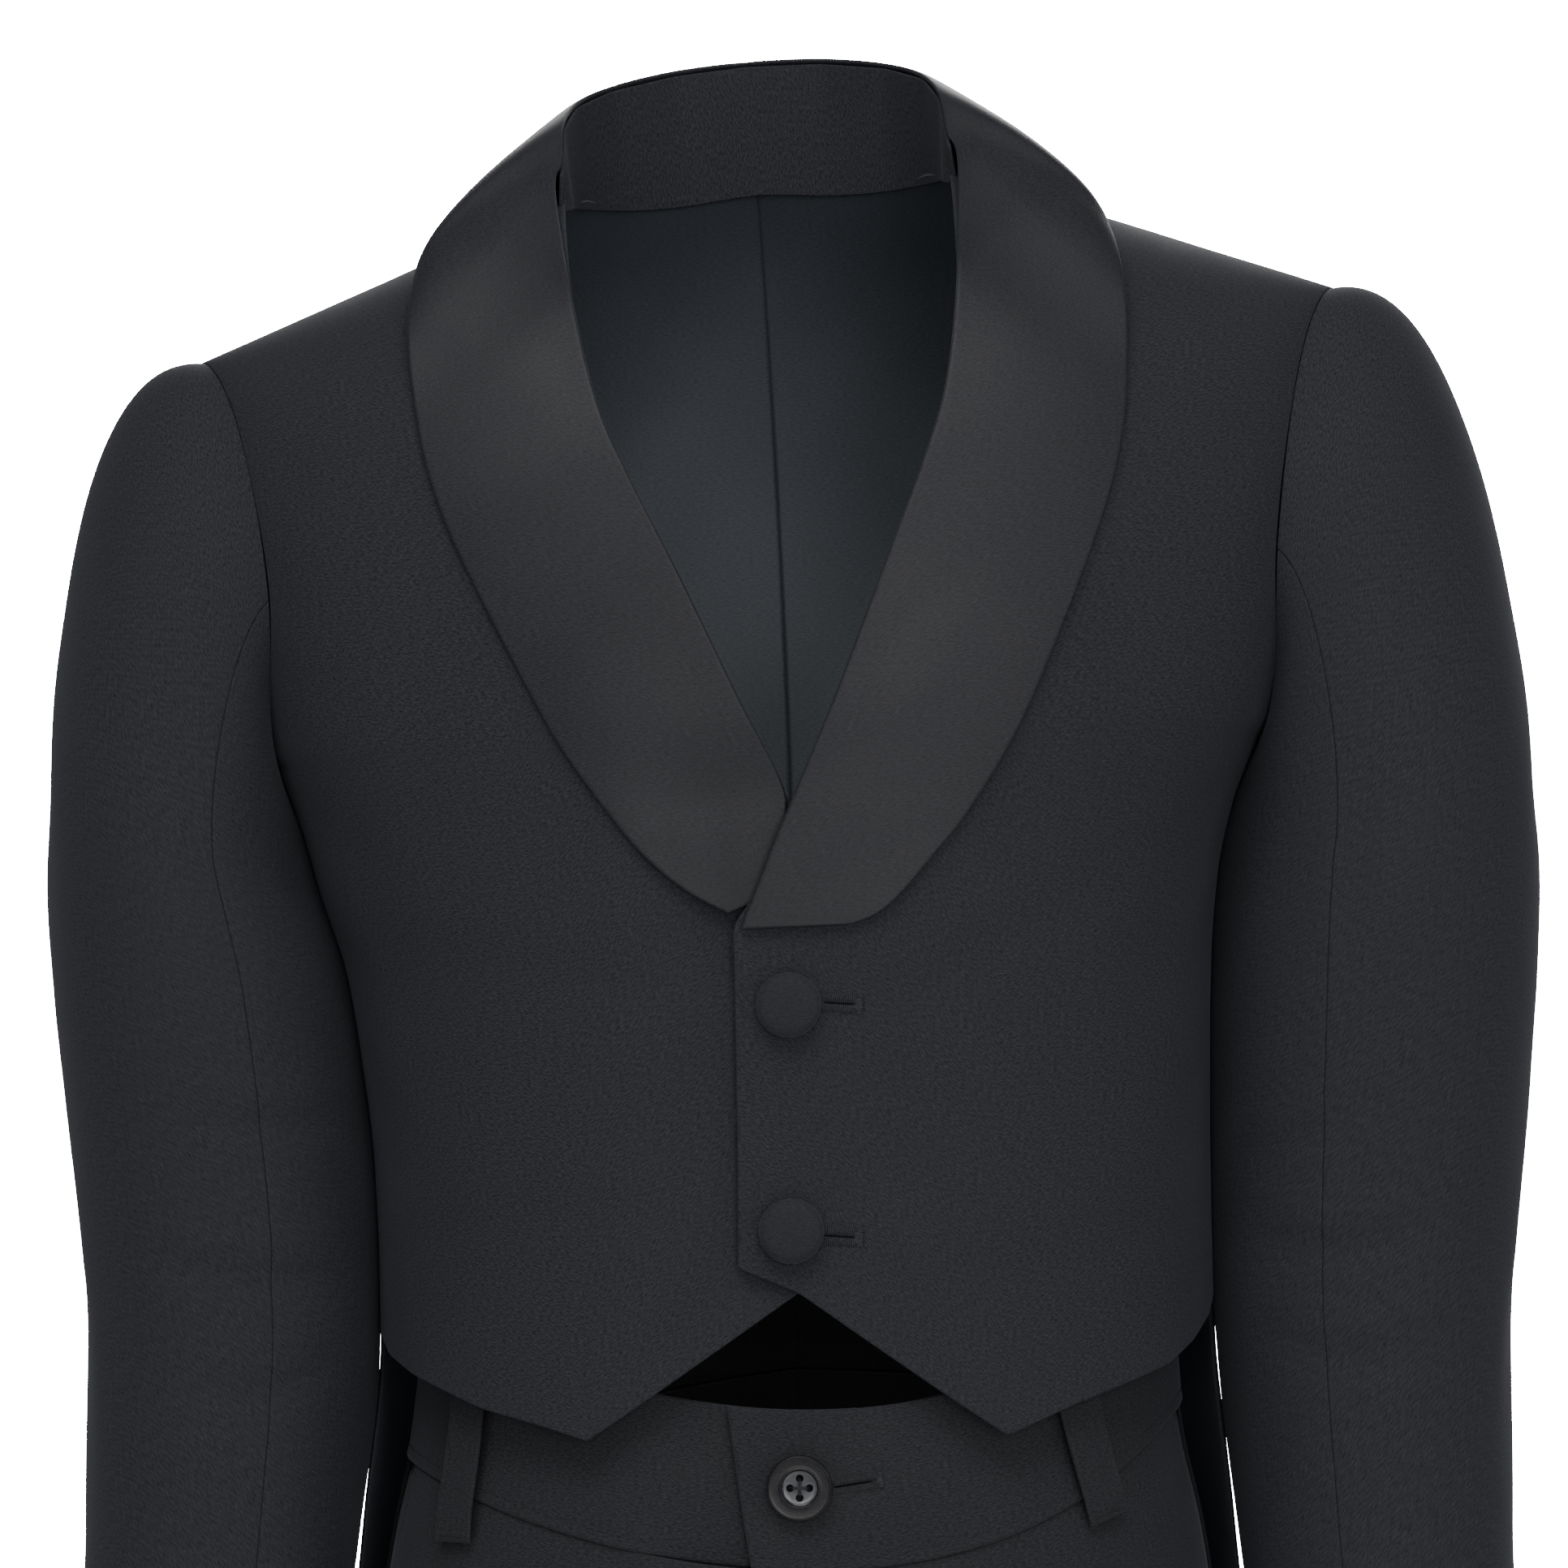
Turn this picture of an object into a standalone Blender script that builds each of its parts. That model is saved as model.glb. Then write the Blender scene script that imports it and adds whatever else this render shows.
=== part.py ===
"""Boy's tailcoat suit, worn form: a tailcoat with a satin shawl collar, and its trousers.

Sizes are in millimetres and become metres as each mesh is made. +Z is up, +X is the
wearer's left and the front faces -Y. The origin lies between the shoulders, at the
height where shoulder and neck meet. Each cut piece is one closed wall of cloth.
"""

import math
from collections import namedtuple

import bpy
import bmesh
from mathutils import Matrix, Vector

MM = 0.001

# Cloth
COAT_WALL = 1.6
SATIN_WALL = 1.4
TROUSER_WALL = 1.3
BAND_WALL = 2.2
LOOP_WALL = 1.0
SEAM_GAP = 0.3
PLY_GAP = 0.35

# Coat body: heights and the form over the shoulders
ARMPIT_Z = -143.0
WAIST_Z = -277.0
TAIL_END_Z = -600.0
SIDE_HEM_Z = -283.0
SHOULDER_HALF = 142.0
SHOULDER_SLOPE = 0.374
NECK_HALF = 48.0
NECK_SIDE_Z = -1.0
NECK_BACK_DEPTH = 34.0
RIDGE_Y = 4.0
SECTION_POWER = 2.4
RISE_POWER = 2.2
LAP = 15.0
ARMHOLE_CUT = 26.0
SHOULDER_END_ANGLE = 3.0
SHOULDER_SPREAD_POWER = 0.6
ARMHOLE_DEPTH = 1.55
ARMHOLE_FOOT_POWER = 0.35
ARMHOLE_TOP_POWER = 0.7
ARMHOLE_RISE_POWER = 1.6
HEM_ROW_Z = -290.0
TAIL_SPREAD = 3.5
TAIL_OPEN_Z = -307.0
TAIL_OPEN_REACH = 290.0
TAIL_EDGE_Z = -300.0
TAIL_EDGE_REACH = 300.0
TAIL_EDGE_TURN = 62.0
SOLVE_ROUNDS = 12

# The stance: the upper body leans to the wearer's right
LEAN_SHIFT = 10.6

CoatRow = namedtuple("CoatRow", "z left right front back")
COAT_ROWS = (
    CoatRow(-143, 117.0, 127.5, 80.0, 78.0),
    CoatRow(-158, 110.0, 122.0, 80.0, 77.0),
    CoatRow(-175, 105.5, 117.5, 80.0, 76.0),
    CoatRow(-195, 103.5, 111.5, 80.0, 75.0),
    CoatRow(-216, 102.8, 108.5, 80.0, 75.0),
    CoatRow(-245, 102.6, 105.6, 80.5, 76.0),
    CoatRow(-270, 103.0, 104.6, 81.5, 79.0),
    CoatRow(-290, 104.0, 104.4, 82.5, 83.0),
    CoatRow(-334, 109.0, 109.0, 84.0, 92.0),
    CoatRow(-400, 117.0, 117.0, 84.0, 99.0),
    CoatRow(-600, 121.0, 121.0, 84.0, 103.0),
)

# Front edge from the hem to the neck, as a distance past the centre line
EdgeRow = namedtuple("EdgeRow", "z x")
FRONT_EDGE = (
    EdgeRow(-320, -LAP), EdgeRow(-186, -LAP), EdgeRow(-178, -10.5), EdgeRow(-154, 0.6),
    EdgeRow(-129, 12.8), EdgeRow(-108, 21.5), EdgeRow(-81, 33.0), EdgeRow(-68, 39.0),
    EdgeRow(-55, 43.2), EdgeRow(-29, 47.3), EdgeRow(-3, 48.0), EdgeRow(20, 48.0),
)

# Hem of a front: rounded corner, cut-away apex, point, then up to the side
CORNER_X = -11.0
APEX_X = 0.0
POINT_X = 51.0
HemRow = namedtuple("HemRow", "x z")
FRONT_HEM = (
    HemRow(-15, -264), HemRow(CORNER_X, -271), HemRow(APEX_X, -276), HemRow(POINT_X, -312),
    HemRow(57, -308), HemRow(75, -299), HemRow(93, -292), HemRow(105, -283),
)

# Shawl collar and lapel, from the centre back to the lapel's foot
ShawlRow = namedtuple("ShawlRow", "roll_x roll_y roll_z edge_x edge_z edge_at_back")
COLLAR_ROWS = (
    ShawlRow(0.0, 37.0, 32.0, 0.0, -9.0, True),
    ShawlRow(18.0, 34.0, 31.0, 27.0, -10.0, True),
    ShawlRow(34.0, 25.0, 28.0, 52.0, -13.0, True),
    ShawlRow(43.0, 14.0, 24.0, 69.0, -14.0, True),
    ShawlRow(46.5, 2.0, 18.0, 80.0, -16.0, False),
    ShawlRow(47.6, -9.0, 8.0, 85.0, -25.0, False),
)
LAPEL_ROWS = (
    ShawlRow(47.8, None, -4.0, 87.0, -38.0, False),
    ShawlRow(46.6, None, -29.0, 86.5, -58.0, False),
    ShawlRow(42.3, None, -55.0, 83.5, -74.0, False),
    ShawlRow(35.5, None, -74.0, 78.5, -89.0, False),
    ShawlRow(24.5, None, -99.0, 69.0, -111.0, False),
    ShawlRow(11.6, None, -129.0, 56.0, -138.0, False),
    ShawlRow(2.0, None, -150.0, 43.0, -158.0, False),
)
LAPEL_FOOT_LEFT = (
    ShawlRow(-6.0, None, -168.0, 32.0, -174.0, False),
    ShawlRow(-10.5, None, -179.0, 23.5, -181.5, False),
    ShawlRow(-13.0, None, -185.0, 16.0, -184.6, False),
)
LAPEL_FOOT_RIGHT = (
    ShawlRow(1.0, None, -166.0, 26.0, -171.5, False),
    ShawlRow(2.0, None, -176.0, 15.0, -181.0, False),
)
STAND_LAST_ROW = 5
STAND_FOOT_GAP = 1.3
STAND_TOP_GAP = 4.2
STAND_WALL = 1.2
SHOULDER_LIFT = 3.2
LAPEL_GAP = 0.65
ROLL_REACH = 7.0
FALL_LIFT = 13.0
FALL_TUCK = 6.0
SHOULDER_LIFT_BELOW = 42.0
SHOULDER_LIFT_REACH = 30.0
RIDGE_CLEARANCE = 0.4
NECK_SIDE_ROW = 4.2
NECK_FRONT_ROWS = 1.3
NECK_FRONT_Z = -3.0
NECK_SIDE_DROP = 0.5

# Where the right front passes under the left one
DIP_START_X = 45.0
DIP_FULL_X = 17.0
DIP_LAPEL = 3.9
DIP_FRONT = 2.2
DIP_CHANGE_Z = -205.0
DIP_CHANGE_REACH = 18.0
DIP_END_Z = -150.0
DIP_END_REACH = 26.0
LAPEL_CLEARANCE = 1.25

# Sleeves: the inner edge is given for each arm, the outer edge serves both
SleeveRow = namedtuple("SleeveRow", "z inner_left inner_right outer half_depth y")
SLEEVE_ROWS = (
    SleeveRow(-150, 115.6, 127.2, 185.0, 44.0, 2.0),
    SleeveRow(-175, 106.7, 118.8, 186.0, 44.5, 1.0),
    SleeveRow(-200, 104.4, 112.2, 185.0, 44.0, 0.0),
    SleeveRow(-226, 103.8, 109.4, 182.5, 43.0, -1.0),
    SleeveRow(-264, 104.3, 106.4, 179.0, 41.5, -3.0),
    SleeveRow(-290, 106.4, 106.6, 177.5, 40.5, -5.0),
    SleeveRow(-334, 111.2, 111.2, 177.5, 39.0, -9.0),
    SleeveRow(-385, 118.5, 118.5, 180.5, 37.0, -14.0),
    SleeveRow(-440, 126.0, 126.0, 185.5, 35.5, -20.0),
)
SLEEVE_POWER = 2.15
CAP_END_Z = -165.0
CAP_TILT = 12.0
CUFF_Z = -440.0
CUFF_TILT = 3.0
RING_STEPS = 20
FRONT_SLEEVE_SEAM = 6
BACK_SLEEVE_SEAM = 14
CAP_SEAM_GAP = 0.55
CAP_SIDE_GAP = 0.4
CAP_LEAVE_SIDE = (0.75, 0.25)
CAP_LEAVE_FRONT = -0.25
CAP_LEAVE_UP = (-0.36, 0.51)
CAP_FULLNESS = (0.72, 0.08)
CAP_END_STEP = 4.0

# Trousers: outer is the side's distance from the centre plane, centre the leg's axis
TrouserRow = namedtuple("TrouserRow", "z outer centre front back")
TROUSER_ROWS = (
    TrouserRow(-270, 92.5, 0.0, 75.0, 71.0),
    TrouserRow(-290, 93.5, 0.0, 76.0, 73.0),
    TrouserRow(-310, 95.7, 0.0, 77.0, 76.0),
    TrouserRow(-334, 101.0, 0.0, 78.5, 81.0),
    TrouserRow(-352, 104.0, 0.0, 78.8, 84.0),
    TrouserRow(-375, 107.0, 5.0, 78.6, 86.0),
    TrouserRow(-400, 109.2, 17.0, 77.6, 86.0),
    TrouserRow(-425, 110.6, 32.0, 76.4, 84.4),
    TrouserRow(-445, 111.4, 44.5, 75.4, 82.2),
    TrouserRow(-460, 111.8, 52.6, 74.6, 80.4),
    TrouserRow(-470, 112.0, 56.4, 74.0, 79.0),
    TrouserRow(-500, 111.8, 57.2, 72.2, 75.2),
    TrouserRow(-560, 110.5, 58.6, 68.0, 69.0),
    TrouserRow(-650, 108.5, 60.2, 61.5, 62.8),
    TrouserRow(-780, 107.0, 61.6, 57.5, 59.0),
    TrouserRow(-930, 107.0, 63.0, 55.5, 57.5),
)
TROUSER_POWER = 2.3
HIP_Z = -370.0
CROTCH_Z = -470.0
TROUSER_HEM_Z = -930.0
CREASE_HEIGHT = 3.0
CREASE_SPREAD = 9.0
CREASE_START_ANGLE = 64.0
CREASE_TURN_REACH = 130.0
CREASE_RISE_REACH = 130.0

# Waistband, its lap, its loops and the slanted pockets
BAND_FRONT_Z = -341.6
BAND_SIDE_RISE = 38.0
BAND_BACK_RISE = 4.0
BAND_HEIGHT = 39.0
BAND_PROUD = 1.2
BAND_LAP_TOP = 18.0
BAND_LAP_FOOT = 11.0
BAND_UNDER_LAP = 14.0
BAND_HALF = 96.0
BAND_RISE_POWER = 2.0
BAND_DIP_START_X = 46.0
BAND_DIP_REACH = 24.0
LOOP_WIDTH = 12.4
LOOP_OVERHANG = 3.0
LOOP_STAND_OFF = 1.6
LOOP_ARCH_POWER = 0.7
LOOP_ANGLES = {
    "belt_loop_front_left": 42.5,
    "belt_loop_front_right": -54.0,
    "belt_loop_back_left": 128.0,
    "belt_loop_back_right": -128.0,
    "belt_loop_centre_back": 180.0,
}
POCKET_TOP_ANGLE = 16.0
POCKET_END_ANGLE = 1.5
POCKET_END_Z = -440.0
POCKET_UNDER_ANGLE = 7.0
POCKET_BEHIND_ANGLE = 3.5
POCKET_CLOSE_REACH = 30.0
POCKET_CLOSE_ABOVE = 10.0
POCKET_DEPTH = 3.2
POCKET_WALL = 1.0

# Buttons
BUTTON_RADIUS = 8.0
BUTTON_X = -2.0
COVERED_BUTTON_THICK = 4.6
COVERED_BUTTON_STEPS = 20
COVERED_BUTTONS = {"coat_button_upper": -204.0, "coat_button_lower": -259.0}
TROUSER_BUTTON_Z = -323.0
TROUSER_BUTTON_THICK = 3.2
TROUSER_BUTTON_STEPS = 24
TROUSER_BUTTON_RECESS = 4.3
THREAD_HOLE_RADIUS = 0.8
THREAD_HOLE_SPREAD = 1.7

# Colour, roughness and metallic value of each finish
FINISHES = {
    "coat_cloth": ((0.018, 0.019, 0.023), 0.85, 0.0),
    "satin": ((0.030, 0.031, 0.037), 0.42, 0.0),
    "collar_cloth": ((0.016, 0.017, 0.020), 0.9, 0.0),
    "trouser_cloth": ((0.013, 0.014, 0.017), 0.85, 0.0),
    "pocket_cloth": ((0.012, 0.013, 0.016), 0.88, 0.0),
    "button_cloth": ((0.017, 0.018, 0.022), 0.8, 0.0),
    "horn_button": ((0.010, 0.010, 0.012), 0.35, 0.0),
}


# Small helpers

def mix(a, b, t):
    return a + (b - a) * t


def ease(t):
    t = min(1.0, max(0.0, t))
    return t * t * (3.0 - 2.0 * t)


def power(value, exponent):
    return math.copysign(abs(value) ** exponent, value)


def read_table(rows, column, key, value):
    """One column of a table at a key between rows, along a curve that never overshoots."""
    ordered = sorted(rows, key=lambda row: getattr(row, key))
    keys = [getattr(row, key) for row in ordered]
    data = [getattr(row, column) for row in ordered]
    value = min(keys[-1], max(keys[0], value))
    slopes = [(data[i + 1] - data[i]) / (keys[i + 1] - keys[i]) for i in range(len(keys) - 1)]
    tangents = [slopes[0]]
    for before, after in zip(slopes, slopes[1:]):
        same_way = before * after > 0.0
        tangents.append(2.0 * before * after / (before + after) if same_way else 0.0)
    tangents.append(slopes[-1])
    i = max(k for k in range(len(keys) - 1) if keys[k] <= value)
    span = keys[i + 1] - keys[i]
    t = (value - keys[i]) / span
    bend = t * t * (3.0 - 2.0 * t)
    start = tangents[i] * span * t * (1.0 - t) ** 2
    end = tangents[i + 1] * span * t * t * (t - 1.0)
    return mix(data[i], data[i + 1], bend) + start + end


def straight_table(rows, column, key, value):
    """One column of a table at a key between rows, along straight runs."""
    for low, high in zip(rows, rows[1:]):
        if value <= getattr(high, key):
            break
    t = (value - getattr(low, key)) / (getattr(high, key) - getattr(low, key))
    return mix(getattr(low, column), getattr(high, column), max(0.0, t))


def lean(point):
    """Tips the upper body over, more with height, about the waist."""
    height = max(0.0, (point.z - WAIST_Z) / -WAIST_Z)
    tilt = math.tan(2.0 * LEAN_SHIFT / -WAIST_Z * height)
    return Vector((point.x - LEAN_SHIFT * height ** 2, point.y, point.z + point.x * tilt))


# The coat's form

def coat_half(side, z):
    return read_table(COAT_ROWS, "left" if side > 0 else "right", "z", z)


def coat_depth(back, z):
    return read_table(COAT_ROWS, "back" if back else "front", "z", z)


def ridge_z(x):
    return NECK_SIDE_Z - SHOULDER_SLOPE * (abs(x) - NECK_HALF)


def upper_half(side, rise):
    return mix(coat_half(side, ARMPIT_Z), SHOULDER_HALF, max(0.0, rise) ** SHOULDER_SPREAD_POWER)


def form_y(side, x, z, back=False):
    """Depth of the coat's outer form at a height and a distance from the centre."""
    sign = 1.0 if back else -1.0
    if z <= ARMPIT_Z:
        share = min(1.0, abs(x) / coat_half(side, z))
        flank = (1.0 - share ** SECTION_POWER) ** (1.0 / SECTION_POWER)
        return sign * coat_depth(back, z) * flank
    rise = min(1.0, (z - ARMPIT_Z) / (ridge_z(x) - ARMPIT_Z))
    share = min(1.0, abs(x) / upper_half(side, rise))
    flank = (1.0 - share ** SECTION_POWER) ** (1.0 / SECTION_POWER)
    slope = (1.0 - rise ** RISE_POWER) ** (1.0 / RISE_POWER)
    chest = sign * coat_depth(back, ARMPIT_Z) * flank
    return RIDGE_Y + (chest - RIDGE_Y) * slope


def form_point(side, angle, z=None, rise_angle=None, back=False):
    """A point of the form at an angle from the centre line, 0 to 90 at the side."""
    across = power(math.sin(math.radians(angle)), 2.0 / SECTION_POWER)
    deep = power(math.cos(math.radians(angle)), 2.0 / SECTION_POWER)
    sign = 1.0 if back else -1.0
    if rise_angle is None:
        y = sign * coat_depth(back, z) * deep
        return Vector((side * coat_half(side, z) * across, y, z))
    turn = math.radians(90.0) * min(1.0, max(0.0, rise_angle))
    rise = math.sin(turn) ** (2.0 / RISE_POWER)
    slope = max(0.0, math.cos(turn)) ** (2.0 / RISE_POWER)
    x = upper_half(side, rise) * across
    chest = sign * coat_depth(back, ARMPIT_Z) * deep
    y = RIDGE_Y + (chest - RIDGE_Y) * slope
    z = ARMPIT_Z + (ridge_z(x) - ARMPIT_Z) * rise
    return Vector((side * x, y, z))


def angle_at(x, half):
    return math.degrees(math.asin(power(min(1.0, abs(x) / half), SECTION_POWER / 2.0)
                                  * math.copysign(1.0, x)))


def armhole_angle(rise_angle):
    """The angle where a body panel ends at the armhole, 90 at the side and the shoulder."""
    rise_angle = min(1.0, max(0.0, rise_angle))
    scoop = rise_angle ** ARMHOLE_FOOT_POWER * (1.0 - rise_angle) ** ARMHOLE_TOP_POWER
    return 90.0 - ARMHOLE_CUT * ARMHOLE_DEPTH * scoop - SHOULDER_END_ANGLE * ease(4.0 * rise_angle)


def under_lap(x, z):
    """How far the right front lies below the left one, by the distance from the centre."""
    depth = mix(DIP_FRONT, DIP_LAPEL, ease((z - DIP_CHANGE_Z) / DIP_CHANGE_REACH))
    above = 1.0 - ease((z - DIP_END_Z) / DIP_END_REACH)
    return depth * above * ease((DIP_START_X - x) / (DIP_START_X - DIP_FULL_X))


def front_point(side, u, v):
    """Outer face of a front: u from its edge to the side, v from hem (-1) to shoulder (1)."""
    bottom_half = coat_half(side, HEM_ROW_Z)
    hem_angle = mix(angle_at(-LAP, bottom_half), 90.0, u)
    hem_x = bottom_half * power(math.sin(math.radians(hem_angle)), 2.0 / SECTION_POWER)
    if v < 0.0:
        edge_z = mix(ARMPIT_Z, straight_table(FRONT_HEM, "z", "x", -LAP), -v)
        edge_x = read_table(FRONT_EDGE, "x", "z", edge_z)
        angle = mix(angle_at(edge_x, coat_half(side, edge_z)), 90.0, u)
        z = mix(ARMPIT_Z, straight_table(FRONT_HEM, "z", "x", hem_x), -v)
        point = form_point(side, angle, z=z)
    else:
        rise = math.sin(math.radians(90.0) * min(1.0, v)) ** (2.0 / RISE_POWER)
        edge_x = NECK_HALF
        for _ in range(SOLVE_ROUNDS):
            edge_z = ARMPIT_Z + (ridge_z(edge_x) - ARMPIT_Z) * rise
            edge_x = read_table(FRONT_EDGE, "x", "z", edge_z)
        angle = mix(angle_at(edge_x, upper_half(side, rise)), armhole_angle(v), u)
        point = form_point(side, angle, rise_angle=v)
    if side < 0:
        point.y += under_lap(side * point.x, point.z) * LAPEL_CLEARANCE
    return lean(point)


def tail_edge_angle(z):
    return 90.0 - TAIL_EDGE_TURN * ease((TAIL_EDGE_Z - z) / TAIL_EDGE_REACH)


def neck_rise(side, angle):
    """How far up a back panel goes: to the neckline near the centre, else to the shoulder."""
    top = 1.0
    for _ in range(SOLVE_ROUNDS):
        point = form_point(side, angle, rise_angle=top, back=True)
        share = min(1.0, abs(point.x) / NECK_HALF)
        neck_y = NECK_BACK_DEPTH * math.sqrt(1.0 - share ** 2)
        chest = form_point(side, angle, rise_angle=0.0, back=True).y - RIDGE_Y
        slope = min(1.0, neck_y / chest) if chest > 1.0 else 0.0
        top = math.degrees(math.acos(slope ** (RISE_POWER / 2.0))) / 90.0
    return top


def back_point(side, u, v, turn=0.0, climb=0.0):
    """Outer face of a back with its tail: u from the centre to the side, v from -1 to 1.

    turn and climb step off that point along the smooth form, for its slopes.
    """
    if v < 0.0:
        z = mix(ARMPIT_Z, TAIL_END_Z, -v)
        opened = TAIL_SPREAD * ease((TAIL_OPEN_Z - z) / TAIL_OPEN_REACH)
        start = angle_at(opened, coat_half(side, z))
        angle = mix(start, tail_edge_angle(z), u) + turn
        return lean(form_point(side, angle, z=z + climb, back=True))
    angle = armhole_angle(v) * u + turn
    rise_angle = min(1.0, v) * mix(1.0, neck_rise(side, 90.0 * u), v)
    return lean(form_point(side, angle, rise_angle=rise_angle + climb * 0.01, back=True))


# Sleeves

def armhole_rise(step_angle):
    share = 1.0 - abs(step_angle) / 180.0
    return max(0.0, share) ** ARMHOLE_RISE_POWER


def armhole_point(side, step_angle):
    """The armhole's edge on the body: 0 at the shoulder, 90 at the front, -90 at the back."""
    rise = armhole_rise(step_angle)
    back = step_angle < 0.0
    return form_point(side, armhole_angle(rise), rise_angle=rise, back=back)


def sleeve_ring(side, step_angle, z):
    inner = read_table(SLEEVE_ROWS, "inner_left" if side > 0 else "inner_right", "z", z)
    half_width = (read_table(SLEEVE_ROWS, "outer", "z", z) - inner) / 2.0
    half_depth = read_table(SLEEVE_ROWS, "half_depth", "z", z)
    y = read_table(SLEEVE_ROWS, "y", "z", z)
    across = power(math.cos(math.radians(step_angle)), 2.0 / SLEEVE_POWER)
    deep = power(math.sin(math.radians(step_angle)), 2.0 / SLEEVE_POWER)
    x = inner + half_width * (1.0 + across)
    return Vector((side * x, y - half_depth * deep, z))


def sleeve_point(side, step_angle, v):
    """Outer face of a sleeve: v from the armhole (0) over the cap (1) to the cuff (2)."""
    turn = (step_angle + 180.0) % 360.0 - 180.0
    c = math.cos(math.radians(turn))
    s = math.sin(math.radians(turn))
    cap_z = CAP_END_Z + CAP_TILT * c
    if v > 1.0:
        return lean(sleeve_ring(side, turn, mix(cap_z, CUFF_Z + CUFF_TILT * c, v - 1.0)))
    aside, aside_turn = CAP_LEAVE_SIDE
    rise, rise_turn = CAP_LEAVE_UP
    leave = Vector((side * (aside + aside_turn * c), CAP_LEAVE_FRONT * s, rise + rise_turn * c))
    leave.normalize()
    out = Vector((side * (0.5 - 0.5 * c), 0.0, 0.0))
    start = armhole_point(side, turn) + leave * CAP_SEAM_GAP + out * CAP_SIDE_GAP
    end = sleeve_ring(side, turn, cap_z)
    reach = (end - start).length * (CAP_FULLNESS[0] + CAP_FULLNESS[1] * c)
    arrive = (sleeve_ring(side, turn, cap_z - CAP_END_STEP) - end).normalized()
    v = max(0.0, v)
    point = start * (2.0 * v ** 3 - 3.0 * v ** 2 + 1.0)
    point += leave * reach * (v ** 3 - 2.0 * v ** 2 + v)
    point += end * (3.0 * v ** 2 - 2.0 * v ** 3)
    point += arrive * reach * (v ** 3 - v ** 2)
    return lean(point)


# Shawl collar

def on_form(side, x, z, out, back=False):
    """A point of the coat's form at x and z, moved out along its normal."""
    def spot(a, b):
        y = form_y(side, a, b, back)
        if side < 0 and not back:
            y += under_lap(a, b)
        return Vector((a, y, b))
    step = 0.2
    here = spot(x, z)
    across = spot(x + step, z) - spot(x - step, z)
    up = here - spot(x, z - step)
    normal = across.cross(up).normalized()
    if back:
        normal = -normal
    point = here + normal * out
    return Vector((side * point.x, point.y, point.z))


def shawl_rows(side):
    foot = LAPEL_FOOT_LEFT if side > 0 else LAPEL_FOOT_RIGHT
    return COLLAR_ROWS + LAPEL_ROWS + foot


def shawl_out(x, z):
    """How far the shawl's outer face stands off the coat: more over the shoulder."""
    lift = ease((z - ridge_z(x) + SHOULDER_LIFT_BELOW) / SHOULDER_LIFT_REACH)
    return LAPEL_GAP + SATIN_WALL + SHOULDER_LIFT * lift


def shawl_row_point(side, row, u):
    """A shawl point in one row: u from the roll (0) to the outer edge (1)."""
    edge = on_form(side, row.edge_x, row.edge_z, shawl_out(row.edge_x, row.edge_z), row.edge_at_back)
    if row.roll_y is None:
        x = mix(row.roll_x, row.edge_x, u)
        z = mix(row.roll_z, row.edge_z, u)
        return on_form(side, x, min(z, ridge_z(x) - RIDGE_CLEARANCE), shawl_out(x, z))
    roll = Vector((side * row.roll_x, row.roll_y, row.roll_z))
    away = Vector((edge.x - roll.x, edge.y - roll.y, 0.0)).normalized()
    corner = roll + away * ROLL_REACH
    low = edge + Vector((0.0, 0.0, FALL_LIFT)) - away * FALL_TUCK
    return (roll * (1.0 - u) ** 3 + corner * 3.0 * u * (1.0 - u) ** 2
            + low * 3.0 * u ** 2 * (1.0 - u) + edge * u ** 3)


def shawl_point(side, u, v):
    """The shawl between its rows, v counted in rows."""
    rows = shawl_rows(side)
    v = min(len(rows) - 1.0, max(0.0, v))
    i = min(len(rows) - 2, int(v))
    picks = [rows[min(len(rows) - 1, abs(i + k))] for k in (-1, 0, 1, 2)]
    points = [shawl_row_point(side, row, u) for row in picks]
    if i == 0:
        points[0].x = -points[0].x
    t = v - i
    curve = points[1] * 2.0 + (points[2] - points[0]) * t
    curve += (points[0] * 2.0 - points[1] * 5.0 + points[2] * 4.0 - points[3]) * t ** 2
    curve += (points[1] * 3.0 - points[0] - points[2] * 3.0 + points[3]) * t ** 3
    return lean(curve * 0.5)


def neck_seam(side, v):
    """The coat's neckline, v counted in shawl rows from the centre back."""
    turn = min(1.0, v / NECK_SIDE_ROW) * math.radians(90.0)
    if v <= NECK_SIDE_ROW:
        x = NECK_HALF * math.sin(turn)
        y = RIDGE_Y + NECK_BACK_DEPTH * math.cos(turn)
        low, high = ARMPIT_Z, ridge_z(x)
        for _ in range(3 * SOLVE_ROUNDS):
            z = 0.5 * (low + high)
            if form_y(side, x, z, True) > y:
                low = z
            else:
                high = z
        return Vector((side * x, y, z))
    z = mix(NECK_SIDE_Z - NECK_SIDE_DROP, NECK_FRONT_Z, (v - NECK_SIDE_ROW) / NECK_FRONT_ROWS)
    return on_form(side, NECK_HALF, z, 0.0)


def stand_point(u, v):
    """Outer face of the stand: u from the neck seam (0) up to the roll (1)."""
    side = 1.0 if v >= 0.0 else -1.0
    row = abs(v)
    foot = neck_seam(side, row) + Vector((0.0, 0.0, STAND_FOOT_GAP))
    rows = shawl_rows(side)
    i = min(STAND_LAST_ROW - 1, int(row))
    low = rows[i]
    high = rows[i + 1]
    t = row - i
    roll = Vector((side * mix(low.roll_x, high.roll_x, t),
                   mix(low.roll_y, high.roll_y, t),
                   mix(low.roll_z, high.roll_z, t)))
    top = roll - Vector((0.0, 0.0, STAND_TOP_GAP))
    return lean(foot.lerp(top, u))


# Trousers

def trouser_value(column, z):
    return read_table(TROUSER_ROWS, column, "z", z)


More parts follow.
